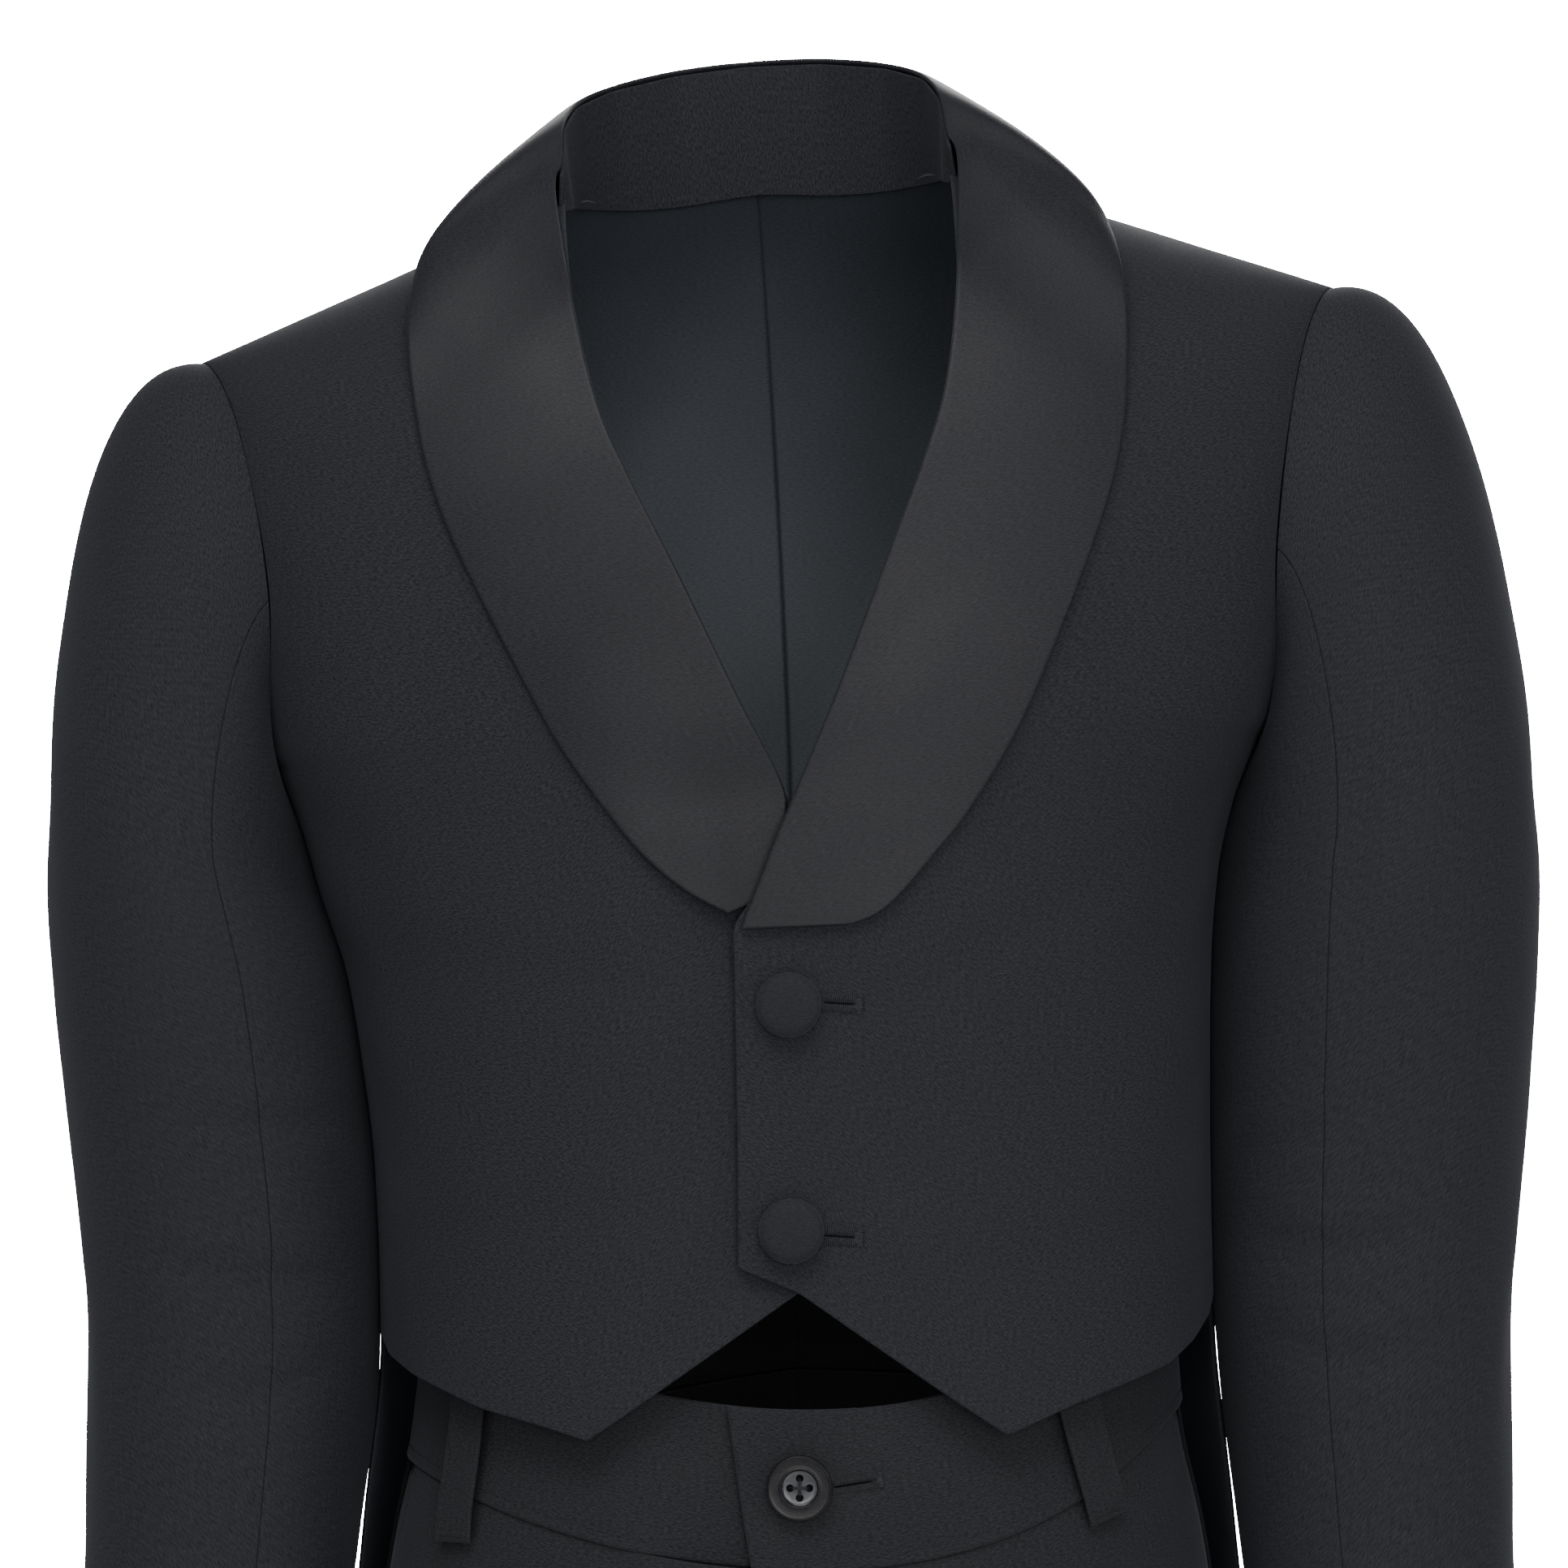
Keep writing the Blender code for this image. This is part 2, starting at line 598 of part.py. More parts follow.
def cut_angle(z):
    """The angle round a leg, from its outer side, where the centre plane cuts it."""
    centre = trouser_value("centre", z)
    width = trouser_value("outer", z) - centre
    share = min(1.0, centre / width)
    if z <= CROTCH_Z:
        return 180.0
    return math.degrees(math.acos(-(share ** (TROUSER_POWER / 2.0))))


def trouser_ring(side, angle, z, out=0.0):
    """A leg's outer form: angle 0 at the side, 90 in front, -90 behind."""
    centre = trouser_value("centre", z)
    width = trouser_value("outer", z) - centre + out
    depth = trouser_value("front" if angle > 0.0 else "back", z) + out
    across = power(math.cos(math.radians(angle)), 2.0 / TROUSER_POWER)
    deep = power(math.sin(math.radians(angle)), 2.0 / TROUSER_POWER)
    pressed = ease((HIP_Z - z) / CREASE_RISE_REACH) * CREASE_HEIGHT
    crease = mix(CREASE_START_ANGLE, 90.0, ease((HIP_Z - z) / CREASE_TURN_REACH))
    away = (abs(angle) - crease) / CREASE_SPREAD
    y = -depth * deep - math.copysign(pressed * math.exp(-away ** 2), angle)
    return Vector((side * (centre + width * across), y, z))


def band_foot_z(angle):
    """Height of the waist seam, by the angle from the centre front."""
    across = abs(math.sin(math.radians(angle)))
    if abs(angle) <= 90.0:
        return BAND_FRONT_Z + BAND_SIDE_RISE * across ** BAND_RISE_POWER
    return BAND_FRONT_Z + BAND_SIDE_RISE + BAND_BACK_RISE * (1.0 - across)


def trouser_z(angle, v):
    """Height in a leg panel: v 0 at the waist seam, 1 at the hip, 2 at the hem."""
    if v < 1.0:
        return mix(band_foot_z(90.0 - angle), HIP_Z, v)
    return mix(HIP_Z, TROUSER_HEM_Z, v - 1.0)


def pocket_angle(z):
    share = (BAND_FRONT_Z + BAND_SIDE_RISE - z) / (BAND_FRONT_Z + BAND_SIDE_RISE - POCKET_END_Z)
    return mix(POCKET_TOP_ANGLE, POCKET_END_ANGLE, min(1.0, max(0.0, share)))


def leg_front_point(side, u, v):
    """Front of a leg: u from the side or pocket edge to the centre seam or inseam."""
    guess = trouser_z(45.0, v)
    closing = ease((POCKET_END_Z + POCKET_CLOSE_ABOVE - guess) / POCKET_CLOSE_REACH)
    side_angle = pocket_angle(guess) * (1.0 - closing)
    angle = mix(side_angle, cut_angle(guess), u)
    return trouser_ring(side, angle, trouser_z(min(angle, 90.0), v))


def leg_back_point(side, u, v):
    """Back of a leg: u from the side seam to the centre seam or inseam."""
    angle = -mix(0.0, cut_angle(trouser_z(0.0, v)), u)
    return trouser_ring(side, angle - 0.001, trouser_z(max(angle, -90.0), v))


def pocket_point(side, u, v):
    """The hip piece under the pocket's slanted edge: u front to back, v top to bottom."""
    top = band_foot_z(90.0) - POCKET_DEPTH
    z = mix(top, POCKET_END_Z, v)
    angle = mix(pocket_angle(z) + POCKET_UNDER_ANGLE, -POCKET_BEHIND_ANGLE, u)
    return trouser_ring(side, angle, z, -POCKET_DEPTH)


def band_ring(angle, z, out):
    """The waistband's form, by the signed angle from the centre front."""
    side = 1.0 if angle >= 0.0 else -1.0
    return trouser_ring(side, 90.0 - abs(angle), z, out)


def band_angle(x):
    return math.degrees(math.asin((x / BAND_HALF) ** (TROUSER_POWER / 2.0)))


def band_point(side, u, v):
    """A half of the waistband: u from its lapped end to the centre back, v up the band."""
    lap = mix(BAND_LAP_FOOT, BAND_LAP_TOP, v) if side > 0 else BAND_UNDER_LAP
    angle = mix(-band_angle(lap), 180.0, u)
    z = band_foot_z(angle) + BAND_HEIGHT * v
    dip = 0.0
    point = band_ring(angle, z, BAND_PROUD)
    if side < 0:
        dip = (BAND_WALL + 2.0 * PLY_GAP) * ease((BAND_DIP_START_X - point.x) / BAND_DIP_REACH)
        if angle > 90.0:
            dip = 0.0
    return Vector((side * point.x, point.y + dip, point.z))


def loop_point(centre_angle, u, v):
    """A belt loop over the band: u across, v up, held down at both ends."""
    spread = LOOP_WIDTH / 2.0 * (2.0 * u - 1.0)
    z = mix(band_foot_z(centre_angle) - LOOP_OVERHANG, band_foot_z(centre_angle) + BAND_HEIGHT, v)
    middle = band_ring(centre_angle, z, BAND_PROUD)
    beside = band_ring(centre_angle + 1.0, z, BAND_PROUD) - band_ring(centre_angle - 1.0, z, BAND_PROUD)
    beside.z = 0.0
    beside.normalize()
    outward = Vector((-beside.y, beside.x, 0.0))
    if outward.dot(Vector((middle.x, middle.y, 0.0))) < 0.0:
        outward = -outward
    stand_off = PLY_GAP + LOOP_WALL + LOOP_STAND_OFF * max(0.0, math.sin(math.pi * v)) ** LOOP_ARCH_POWER
    return middle + beside * spread + outward * stand_off


# Meshes

def make_material(name):
    colour, roughness, metallic = FINISHES[name]
    material = bpy.data.materials.new(name)
    material.use_nodes = True
    shader = material.node_tree.nodes["Principled BSDF"]
    shader.inputs["Base Color"].default_value = (*colour, 1.0)
    shader.inputs["Roughness"].default_value = roughness
    shader.inputs["Metallic"].default_value = metallic
    material.diffuse_color = (*colour, 1.0)
    return material


def add_object(name, mesh, finish):
    piece = bpy.data.objects.new(name, mesh)
    bpy.context.scene.collection.objects.link(piece)
    piece.data.materials.append(make_material(finish))
    for polygon in mesh.polygons:
        polygon.use_smooth = True
    mesh.set_sharp_from_angle(angle=math.radians(35.0))
    return piece


def slopes(point, u, v):
    """Unit steps along u and along v at a point of a form."""
    small = 1e-3
    along_u = point(u + small, v) - point(u - small, v)
    along_v = point(u, v + small) - point(u, v - small)
    return along_u.normalized(), along_v.normalized()


def back_slopes(side, u, v):
    small = 0.05
    along_u = back_point(side, u, v, small) - back_point(side, u, v, -small)
    along_v = back_point(side, u, v, 0.0, small) - back_point(side, u, v, 0.0, -small)
    return along_u.normalized(), along_v.normalized()


def add_wall(name, finish, point, us, vs, thickness, facing, trims=(0.0, 0.0, 0.0, 0.0),
             slopes_at=None):
    """A closed wall of cloth with its outer face through point(u, v).

    facing is 1 where u crossed with v points out of the garment, else -1. trims are the
    amounts taken off at the first and last u and the first and last v. slopes_at gives
    the unit steps along u and v where the point function alone has a corner.
    """
    slopes_at = slopes_at or (lambda u, v: slopes(point, u, v))
    mesh_builder = bmesh.new()
    outer = []
    inner = []
    for a, u in enumerate(us):
        outer_line = []
        inner_line = []
        for b, v in enumerate(vs):
            along_u, along_v = slopes_at(u, v)
            normal = along_u.cross(along_v).normalized() * facing
            spot = point(u, v)
            spot += along_u * (trims[0] if a == 0 else 0.0)
            spot -= along_u * (trims[1] if a == len(us) - 1 else 0.0)
            spot += along_v * (trims[2] if b == 0 else 0.0)
            spot -= along_v * (trims[3] if b == len(vs) - 1 else 0.0)
            outer_line.append(mesh_builder.verts.new(spot * MM))
            inner_line.append(mesh_builder.verts.new((spot - normal * thickness) * MM))
        outer.append(outer_line)
        inner.append(inner_line)
    last_u = len(us) - 1
    last_v = len(vs) - 1
    for a in range(last_u):
        for b in range(last_v):
            for grid in (outer, inner):
                mesh_builder.faces.new((grid[a][b], grid[a + 1][b], grid[a + 1][b + 1], grid[a][b + 1]))
    rim = [(a, 0) for a in range(last_u)]
    rim += [(last_u, b) for b in range(last_v)]
    rim += [(a, last_v) for a in range(last_u, 0, -1)]
    rim += [(0, b) for b in range(last_v, 0, -1)]
    for (a, b), (c, d) in zip(rim, rim[1:] + rim[:1]):
        mesh_builder.faces.new((outer[a][b], outer[c][d], inner[c][d], inner[a][b]))
    bmesh.ops.recalc_face_normals(mesh_builder, faces=mesh_builder.faces)
    bmesh.ops.triangulate(mesh_builder, faces=mesh_builder.faces)
    mesh = bpy.data.meshes.new(name)
    mesh_builder.to_mesh(mesh)
    mesh_builder.free()
    return add_object(name, mesh, finish)


def spaced(start, end, count):
    return [mix(start, end, i / count) for i in range(count + 1)]


def side_name(side):
    return "left" if side > 0 else "right"


HALF_GAP = SEAM_GAP / 2.0
WAIST_SEAM_GAP = 0.45
UPPER_ROWS = [armhole_rise(180.0 - 18.0 * i) for i in range(11)]


def build_coat_body():
    bottom_half = coat_half(1.0, HEM_ROW_Z)
    start = angle_at(-LAP, bottom_half)
    apex = (angle_at(APEX_X, bottom_half) - start) / (90.0 - start)
    tip = (angle_at(POINT_X, bottom_half) - start) / (90.0 - start)
    corner = (angle_at(CORNER_X, bottom_half) - start) / (90.0 - start)
    front_us = [0.0, corner] + spaced(apex, tip, 3) + spaced(tip, 1.0, 6)[1:]
    front_vs = [-1.0, -0.85, -0.68, -0.5, -0.34, -0.2, -0.1] + UPPER_ROWS
    neck_u = angle_at(NECK_HALF, SHOULDER_HALF) / 90.0
    back_us = spaced(0.0, neck_u, 3) + spaced(neck_u, 1.0, 7)[1:]
    tail_span = ARMPIT_Z - TAIL_END_Z
    side_hem = -(ARMPIT_Z - SIDE_HEM_Z) / tail_span
    back_vs = spaced(-1.0, side_hem, 8) + spaced(side_hem, 0.0, 5)[1:] + UPPER_ROWS[1:]
    for side in (1.0, -1.0):
        gaps = (0.0, HALF_GAP, 0.0, HALF_GAP)
        add_wall("coat_front_" + side_name(side), "coat_cloth",
                 lambda u, v, s=side: front_point(s, u, v),
                 front_us, front_vs, COAT_WALL, side, gaps)
        add_wall("coat_back_" + side_name(side), "coat_cloth",
                 lambda u, v, s=side: back_point(s, u, v),
                 back_us, back_vs, COAT_WALL, -side, (HALF_GAP, HALF_GAP, 0.0, HALF_GAP),
                 lambda u, v, s=side: back_slopes(s, u, v))


def build_sleeves():
    cap_rows = [0.0, 0.12, 0.28, 0.46, 0.64, 0.82, 1.0]
    tube_rows = spaced(1.0, 2.0, 8)[1:]
    step = 360.0 / RING_STEPS
    for side in (1.0, -1.0):
        pieces = {
            "coat_sleeve_under_": range(FRONT_SLEEVE_SEAM, BACK_SLEEVE_SEAM + 1),
            "coat_sleeve_top_": range(BACK_SLEEVE_SEAM - RING_STEPS, FRONT_SLEEVE_SEAM + 1),
        }
        for name, indices in pieces.items():
            add_wall(name + side_name(side), "coat_cloth",
                     lambda u, v, s=side: sleeve_point(s, u, v),
                     [step * i for i in indices], cap_rows + tube_rows,
                     COAT_WALL, side, (HALF_GAP, HALF_GAP, 0.0, 0.0))


def build_collar():
    for side in (1.0, -1.0):
        count = len(shawl_rows(side)) - 1
        add_wall("shawl_collar_" + side_name(side), "satin",
                 lambda u, v, s=side: shawl_point(s, u, v),
                 [0.0, 0.1, 0.25, 0.45, 0.65, 0.85, 1.0], spaced(0.0, count, count * 2 - 2),
                 SATIN_WALL, -side, (0.0, 0.0, HALF_GAP, 0.0))
    add_wall("collar_stand", "collar_cloth", stand_point,
             [0.0, 0.5, 1.0], spaced(-STAND_LAST_ROW, STAND_LAST_ROW, 20), STAND_WALL, -1.0)


def build_trousers():
    top_rows = [0.0, 0.5]
    hip_span = HIP_Z - TROUSER_HEM_Z
    fork_rows = [1.0 + (HIP_Z - z) / hip_span
                 for z in (-370, -390, -410, -430, -445, -456, -464, -470)]
    leg_rows = [1.0 + (HIP_Z - z) / hip_span for z in (-485, -510, -560, -620, -700, -800, -930)]
    rows = top_rows + fork_rows + leg_rows
    for side in (1.0, -1.0):
        gaps = (HALF_GAP, HALF_GAP, WAIST_SEAM_GAP, 0.0)
        add_wall("trouser_front_" + side_name(side), "trouser_cloth",
                 lambda u, v, s=side: leg_front_point(s, u, v),
                 spaced(0.0, 1.0, 10), rows, TROUSER_WALL, side, gaps)
        add_wall("trouser_back_" + side_name(side), "trouser_cloth",
                 lambda u, v, s=side: leg_back_point(s, u, v),
                 spaced(0.0, 1.0, 10), rows, TROUSER_WALL, -side, gaps)
        add_wall("pocket_facing_" + side_name(side), "pocket_cloth",
                 lambda u, v, s=side: pocket_point(s, u, v),
                 spaced(0.0, 1.0, 3), spaced(0.0, 1.0, 5), POCKET_WALL, side)


def build_waistband():
    ends = [0.0, 0.05, 0.1, 0.16, 0.22]
    for side in (1.0, -1.0):
        add_wall("waistband_" + side_name(side), "trouser_cloth",
                 lambda u, v, s=side: band_point(s, u, v),
                 ends + spaced(0.3, 1.0, 10), [0.0, 0.5, 1.0], BAND_WALL, side,
                 (0.0, HALF_GAP, HALF_GAP, 0.0))
    for name, angle in LOOP_ANGLES.items():
        add_wall(name, "trouser_cloth",
                 lambda u, v, a=angle: loop_point(a, u, v),
                 [0.0, 0.5, 1.0], spaced(0.0, 1.0, 6), LOOP_WALL, 1.0)


def turned_mesh(name, profile, steps):
    """A closed turned body about +Z from (radius, height) points, foot to top."""
    builder = bmesh.new()
    rings = []
    for radius, height in profile:
        if radius == 0.0:
            rings.append([builder.verts.new((0.0, 0.0, height * MM))] * steps)
            continue
        turn = [math.tau * i / steps for i in range(steps)]
        rings.append([builder.verts.new((radius * math.cos(t) * MM, radius * math.sin(t) * MM,
                                         height * MM)) for t in turn])
    for low, high in zip(rings, rings[1:]):
        for i in range(steps):
            k = (i + 1) % steps
            corners = [low[i], low[k], high[k], high[i]]
            builder.faces.new(list(dict.fromkeys(corners)))
    bmesh.ops.recalc_face_normals(builder, faces=builder.faces)
    mesh = bpy.data.meshes.new(name)
    builder.to_mesh(mesh)
    builder.free()
    return mesh


def place_on(piece, here, normal, up):
    """Sets a piece down with its +Z along a surface's outward normal."""
    side_way = up.cross(normal).normalized()
    top_way = normal.cross(side_way).normalized()
    turn = Matrix((side_way, top_way, normal)).transposed()
    piece.matrix_world = Matrix.Translation(here * MM) @ turn.to_4x4()


def build_covered_buttons():
    r = BUTTON_RADIUS
    thick = COVERED_BUTTON_THICK
    profile = [(0.0, 0.0), (r - 1.4, 0.0), (r - 0.3, 0.7), (r, 1.6), (r - 0.4, 2.7),
               (r - 1.6, 3.6), (r * 0.5, thick - 0.25), (0.0, thick)]
    for name, z in COVERED_BUTTONS.items():
        mesh = turned_mesh(name, profile, COVERED_BUTTON_STEPS)
        piece = add_object(name, mesh, "button_cloth")
        here = lean(on_form(1.0, BUTTON_X, z, 0.0))
        above = lean(on_form(1.0, BUTTON_X, z + 4.0, 0.0))
        beside = lean(on_form(1.0, BUTTON_X + 4.0, z, 0.0))
        up = (above - here).normalized()
        normal = (beside - here).cross(up).normalized()
        place_on(piece, here + normal * PLY_GAP, normal, up)


def build_trouser_button():
    r = BUTTON_RADIUS
    recess = TROUSER_BUTTON_RECESS
    thick = TROUSER_BUTTON_THICK
    profile = [(0.0, 0.0), (r - 1.0, 0.0), (r, 1.0), (r, thick - 0.8), (r - 0.8, thick),
               (recess + 0.9, thick), (recess, thick - 1.0), (0.0, thick - 1.3)]
    name = "trouser_button"
    piece = add_object(name, turned_mesh(name, profile, TROUSER_BUTTON_STEPS), "horn_button")
    cutter = bpy.data.objects.new("thread_holes", bpy.data.meshes.new("thread_holes"))
    builder = bmesh.new()
    for i in range(4):
        turn = math.radians(45.0 + 90.0 * i)
        spot = Vector((math.cos(turn), math.sin(turn), 0.0)) * THREAD_HOLE_SPREAD
        bmesh.ops.create_cone(builder, cap_ends=True, segments=10,
                              radius1=THREAD_HOLE_RADIUS * MM, radius2=THREAD_HOLE_RADIUS * MM,
                              depth=3.0 * thick * MM, matrix=Matrix.Translation(spot * MM))
    builder.to_mesh(cutter.data)
    builder.free()
    bpy.context.scene.collection.objects.link(cutter)
    cutter.parent = piece
    cutter.hide_render = True
    cutter.display_type = "WIRE"
    holes = piece.modifiers.new("thread_holes", "BOOLEAN")
    holes.operation = "DIFFERENCE"
    holes.object = cutter
    here = band_ring(0.0, TROUSER_BUTTON_Z, BAND_PROUD + PLY_GAP + 0.1)
    place_on(piece, here, Vector((0.0, -1.0, 0.0)),
             Vector((0.0, 0.0, 1.0)))


def main():
    for item in list(bpy.data.objects):
        bpy.data.objects.remove(item, do_unlink=True)
    build_coat_body()
    build_sleeves()
    build_collar()
    build_covered_buttons()
    build_trousers()
    build_waistband()
    build_trouser_button()


main()
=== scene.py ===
"""Boy's tailcoat suit: cloth, satin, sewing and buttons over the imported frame.

The forms are in millimetres, the meshes in metres. +Z is up, +X is the wearer's left
and the front faces -Y. Each cut piece is a thin shell of cloth on its solid's form.
"""

import math
from collections import namedtuple
from functools import lru_cache

import bpy
import bmesh
import numpy as np
from mathutils import Matrix, Vector


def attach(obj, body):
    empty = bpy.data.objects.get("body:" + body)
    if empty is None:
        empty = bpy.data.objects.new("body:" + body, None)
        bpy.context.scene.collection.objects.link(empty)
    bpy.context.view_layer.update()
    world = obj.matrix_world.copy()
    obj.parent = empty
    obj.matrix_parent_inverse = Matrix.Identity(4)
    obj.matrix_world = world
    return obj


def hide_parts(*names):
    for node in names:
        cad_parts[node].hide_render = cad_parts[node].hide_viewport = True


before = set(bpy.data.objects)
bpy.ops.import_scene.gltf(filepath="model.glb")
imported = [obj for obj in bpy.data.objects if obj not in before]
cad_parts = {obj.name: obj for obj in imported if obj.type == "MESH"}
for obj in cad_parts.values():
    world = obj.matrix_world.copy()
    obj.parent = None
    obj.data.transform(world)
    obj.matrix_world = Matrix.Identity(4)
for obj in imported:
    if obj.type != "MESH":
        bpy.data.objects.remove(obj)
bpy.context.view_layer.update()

MM = 0.001

# Cloth
SATIN_WALL = 1.4
BAND_WALL = 2.2
LOOP_WALL = 1.0
PLY_GAP = 0.35

# Coat body: heights and the form over the shoulders
ARMPIT_Z = -143.0
WAIST_Z = -277.0
TAIL_END_Z = -600.0
SIDE_HEM_Z = -283.0
SHOULDER_HALF = 142.0
SHOULDER_SLOPE = 0.374
NECK_HALF = 48.0
NECK_SIDE_Z = -1.0
NECK_BACK_DEPTH = 34.0
RIDGE_Y = 4.0
SECTION_POWER = 2.4
RISE_POWER = 2.2
LAP = 15.0
ARMHOLE_CUT = 26.0
SHOULDER_END_ANGLE = 3.0
SHOULDER_SPREAD_POWER = 0.6
ARMHOLE_DEPTH = 1.55
ARMHOLE_FOOT_POWER = 0.35
ARMHOLE_TOP_POWER = 0.7
ARMHOLE_RISE_POWER = 1.6
HEM_ROW_Z = -290.0
TAIL_SPREAD = 3.5
TAIL_OPEN_Z = -307.0
TAIL_OPEN_REACH = 290.0
TAIL_EDGE_Z = -300.0
TAIL_EDGE_REACH = 300.0
TAIL_EDGE_TURN = 62.0
SOLVE_ROUNDS = 12

# The stance: the upper body leans to the wearer's right
LEAN_SHIFT = 10.6

CoatRow = namedtuple("CoatRow", "z left right front back")
COAT_ROWS = (
    CoatRow(-143, 117.0, 127.5, 80.0, 78.0),
    CoatRow(-158, 110.0, 122.0, 80.0, 77.0),
    CoatRow(-175, 105.5, 117.5, 80.0, 76.0),
    CoatRow(-195, 103.5, 111.5, 80.0, 75.0),
    CoatRow(-216, 102.8, 108.5, 80.0, 75.0),
    CoatRow(-245, 102.6, 105.6, 80.5, 76.0),
    CoatRow(-270, 103.0, 104.6, 81.5, 79.0),
    CoatRow(-290, 104.0, 104.4, 82.5, 83.0),
    CoatRow(-334, 109.0, 109.0, 84.0, 92.0),
    CoatRow(-400, 117.0, 117.0, 84.0, 99.0),
    CoatRow(-600, 121.0, 121.0, 84.0, 103.0),
)

# Front edge from the hem to the neck, as a distance past the centre line
EdgeRow = namedtuple("EdgeRow", "z x")
FRONT_EDGE = (
    EdgeRow(-320, -LAP), EdgeRow(-186, -LAP), EdgeRow(-178, -10.5), EdgeRow(-154, 0.6),
    EdgeRow(-129, 12.8), EdgeRow(-108, 21.5), EdgeRow(-81, 33.0), EdgeRow(-68, 39.0),
    EdgeRow(-55, 43.2), EdgeRow(-29, 47.3), EdgeRow(-3, 48.0), EdgeRow(20, 48.0),
)

# Hem of a front: rounded corner, cut-away apex, point, then up to the side
CORNER_X = -11.0
APEX_X = 0.0
POINT_X = 51.0
HemRow = namedtuple("HemRow", "x z")
HEM_CORNER = (HemRow(-15, -268), HemRow(CORNER_X, -269.6), HemRow(APEX_X, -274))
FRONT_HEMS = {
    1.0: HEM_CORNER + (
        HemRow(49.9, -308.8), HemRow(67, -301.5), HemRow(84, -295.3), HemRow(91, -292.6),
        HemRow(97.5, -287.4), HemRow(102, -281.8), HemRow(104.2, -276)),
    -1.0: HEM_CORNER + (
        HemRow(51.2, -310.2), HemRow(62, -306.9), HemRow(77.5, -303), HemRow(95, -295.8),
        HemRow(101.5, -291.6), HemRow(104.8, -285.5)),
}

# Shawl collar and lapel, from the centre back to the lapel's foot
ShawlRow = namedtuple("ShawlRow", "roll_x roll_y roll_z edge_x edge_z edge_at_back")
COLLAR_ROWS = (
    ShawlRow(0.0, 37.0, 32.0, 0.0, -9.0, True),
    ShawlRow(18.0, 34.0, 31.0, 27.0, -10.0, True),
    ShawlRow(34.0, 25.0, 28.0, 52.0, -13.0, True),
    ShawlRow(43.0, 14.0, 24.0, 69.0, -14.0, True),
    ShawlRow(46.5, 2.0, 18.0, 80.0, -16.0, False),
    ShawlRow(47.6, -9.0, 8.0, 85.0, -25.0, False),
)
LAPEL_ROWS = (
    ShawlRow(47.8, None, -4.0, 87.0, -38.0, False),
    ShawlRow(46.6, None, -29.0, 86.5, -58.0, False),
    ShawlRow(42.3, None, -55.0, 83.5, -74.0, False),
    ShawlRow(35.5, None, -74.0, 78.5, -89.0, False),
    ShawlRow(24.5, None, -99.0, 69.0, -111.0, False),
    ShawlRow(11.6, None, -129.0, 56.0, -138.0, False),
    ShawlRow(2.0, None, -150.0, 43.0, -158.0, False),
)
LAPEL_FOOT_LEFT = (
    ShawlRow(-4.0, None, -163.0, 34.5, -168.0, False),
    ShawlRow(-9.0, None, -175.0, 25.5, -178.0, False),
    ShawlRow(-12.0, None, -182.0, 19.5, -182.6, False),
    ShawlRow(-13.2, None, -185.4, 13.0, -184.8, False),
)
LAPEL_FOOT_RIGHT = (
    ShawlRow(1.2, None, -159.0, 35.5, -167.6, False),
    ShawlRow(1.2, None, -168.0, 26.5, -175.6, False),
    ShawlRow(2.0, None, -176.0, 16.0, -181.6, False),
)
STAND_LAST_ROW = 5
STAND_FOOT_GAP = -2.2
STAND_TOP_GAP = 1.3
STAND_CENTRE_SOFT = 0.6
STAND_FOOT_IN = 2.0
STAND_END_OUT = 1.4
STAND_END_BEFORE = 0.45
STAND_END_REACH = 0.6
SHOULDER_LIFT = 3.2
LAPEL_GAP = 0.65
ROLL_REACH = 7.0
FALL_LIFT = 13.0
FALL_TUCK = 6.0
SHOULDER_LIFT_BELOW = 42.0
SHOULDER_LIFT_REACH = 30.0
RIDGE_CLEARANCE = 0.4
NECK_SIDE_ROW = 4.2
NECK_FRONT_ROWS = 1.3
NECK_FRONT_Z = -3.0
NECK_SIDE_DROP = 0.5

# Where the right front passes under the left one
DIP_START_X = 45.0
DIP_FULL_X = 17.0
DIP_LAPEL = 3.9
DIP_FRONT = 2.2
DIP_CHANGE_Z = -205.0
DIP_CHANGE_REACH = 18.0
DIP_END_Z = -150.0
DIP_END_REACH = 26.0
LAPEL_CLEARANCE = 1.25

# Sleeves: the inner edge is given for each arm, the outer edge serves both
SleeveRow = namedtuple("SleeveRow", "z inner_left inner_right outer half_depth y")
SLEEVE_ROWS = (
    SleeveRow(-150, 115.6, 127.2, 185.0, 44.0, 2.0),
    SleeveRow(-175, 106.7, 118.8, 186.0, 44.5, 1.0),
    SleeveRow(-200, 104.4, 112.2, 185.0, 44.0, 0.0),
    SleeveRow(-226, 103.8, 109.4, 182.5, 43.0, -1.0),
    SleeveRow(-264, 104.3, 106.4, 179.0, 41.5, -3.0),
    SleeveRow(-290, 106.4, 106.6, 177.5, 40.5, -5.0),
    SleeveRow(-334, 111.2, 111.2, 177.5, 39.0, -9.0),
    SleeveRow(-385, 118.5, 118.5, 180.5, 37.0, -14.0),
    SleeveRow(-440, 126.0, 126.0, 185.5, 35.5, -20.0),
)
SLEEVE_POWER = 2.15
CAP_END_Z = -165.0
CAP_TILT = 12.0
CUFF_Z = -440.0
CUFF_TILT = 3.0
RING_STEPS = 20
FRONT_SLEEVE_SEAM = 6
BACK_SLEEVE_SEAM = 14
CAP_SEAM_GAP = -0.15
CAP_SIDE_GAP = 0.0
CAP_LEAVE_SIDE = (0.75, 0.25)
CAP_LEAVE_FRONT = -0.25
CAP_LEAVE_UP = (-0.36, 0.51)
CAP_FULLNESS = (0.72, 0.08)
CAP_END_STEP = 4.0

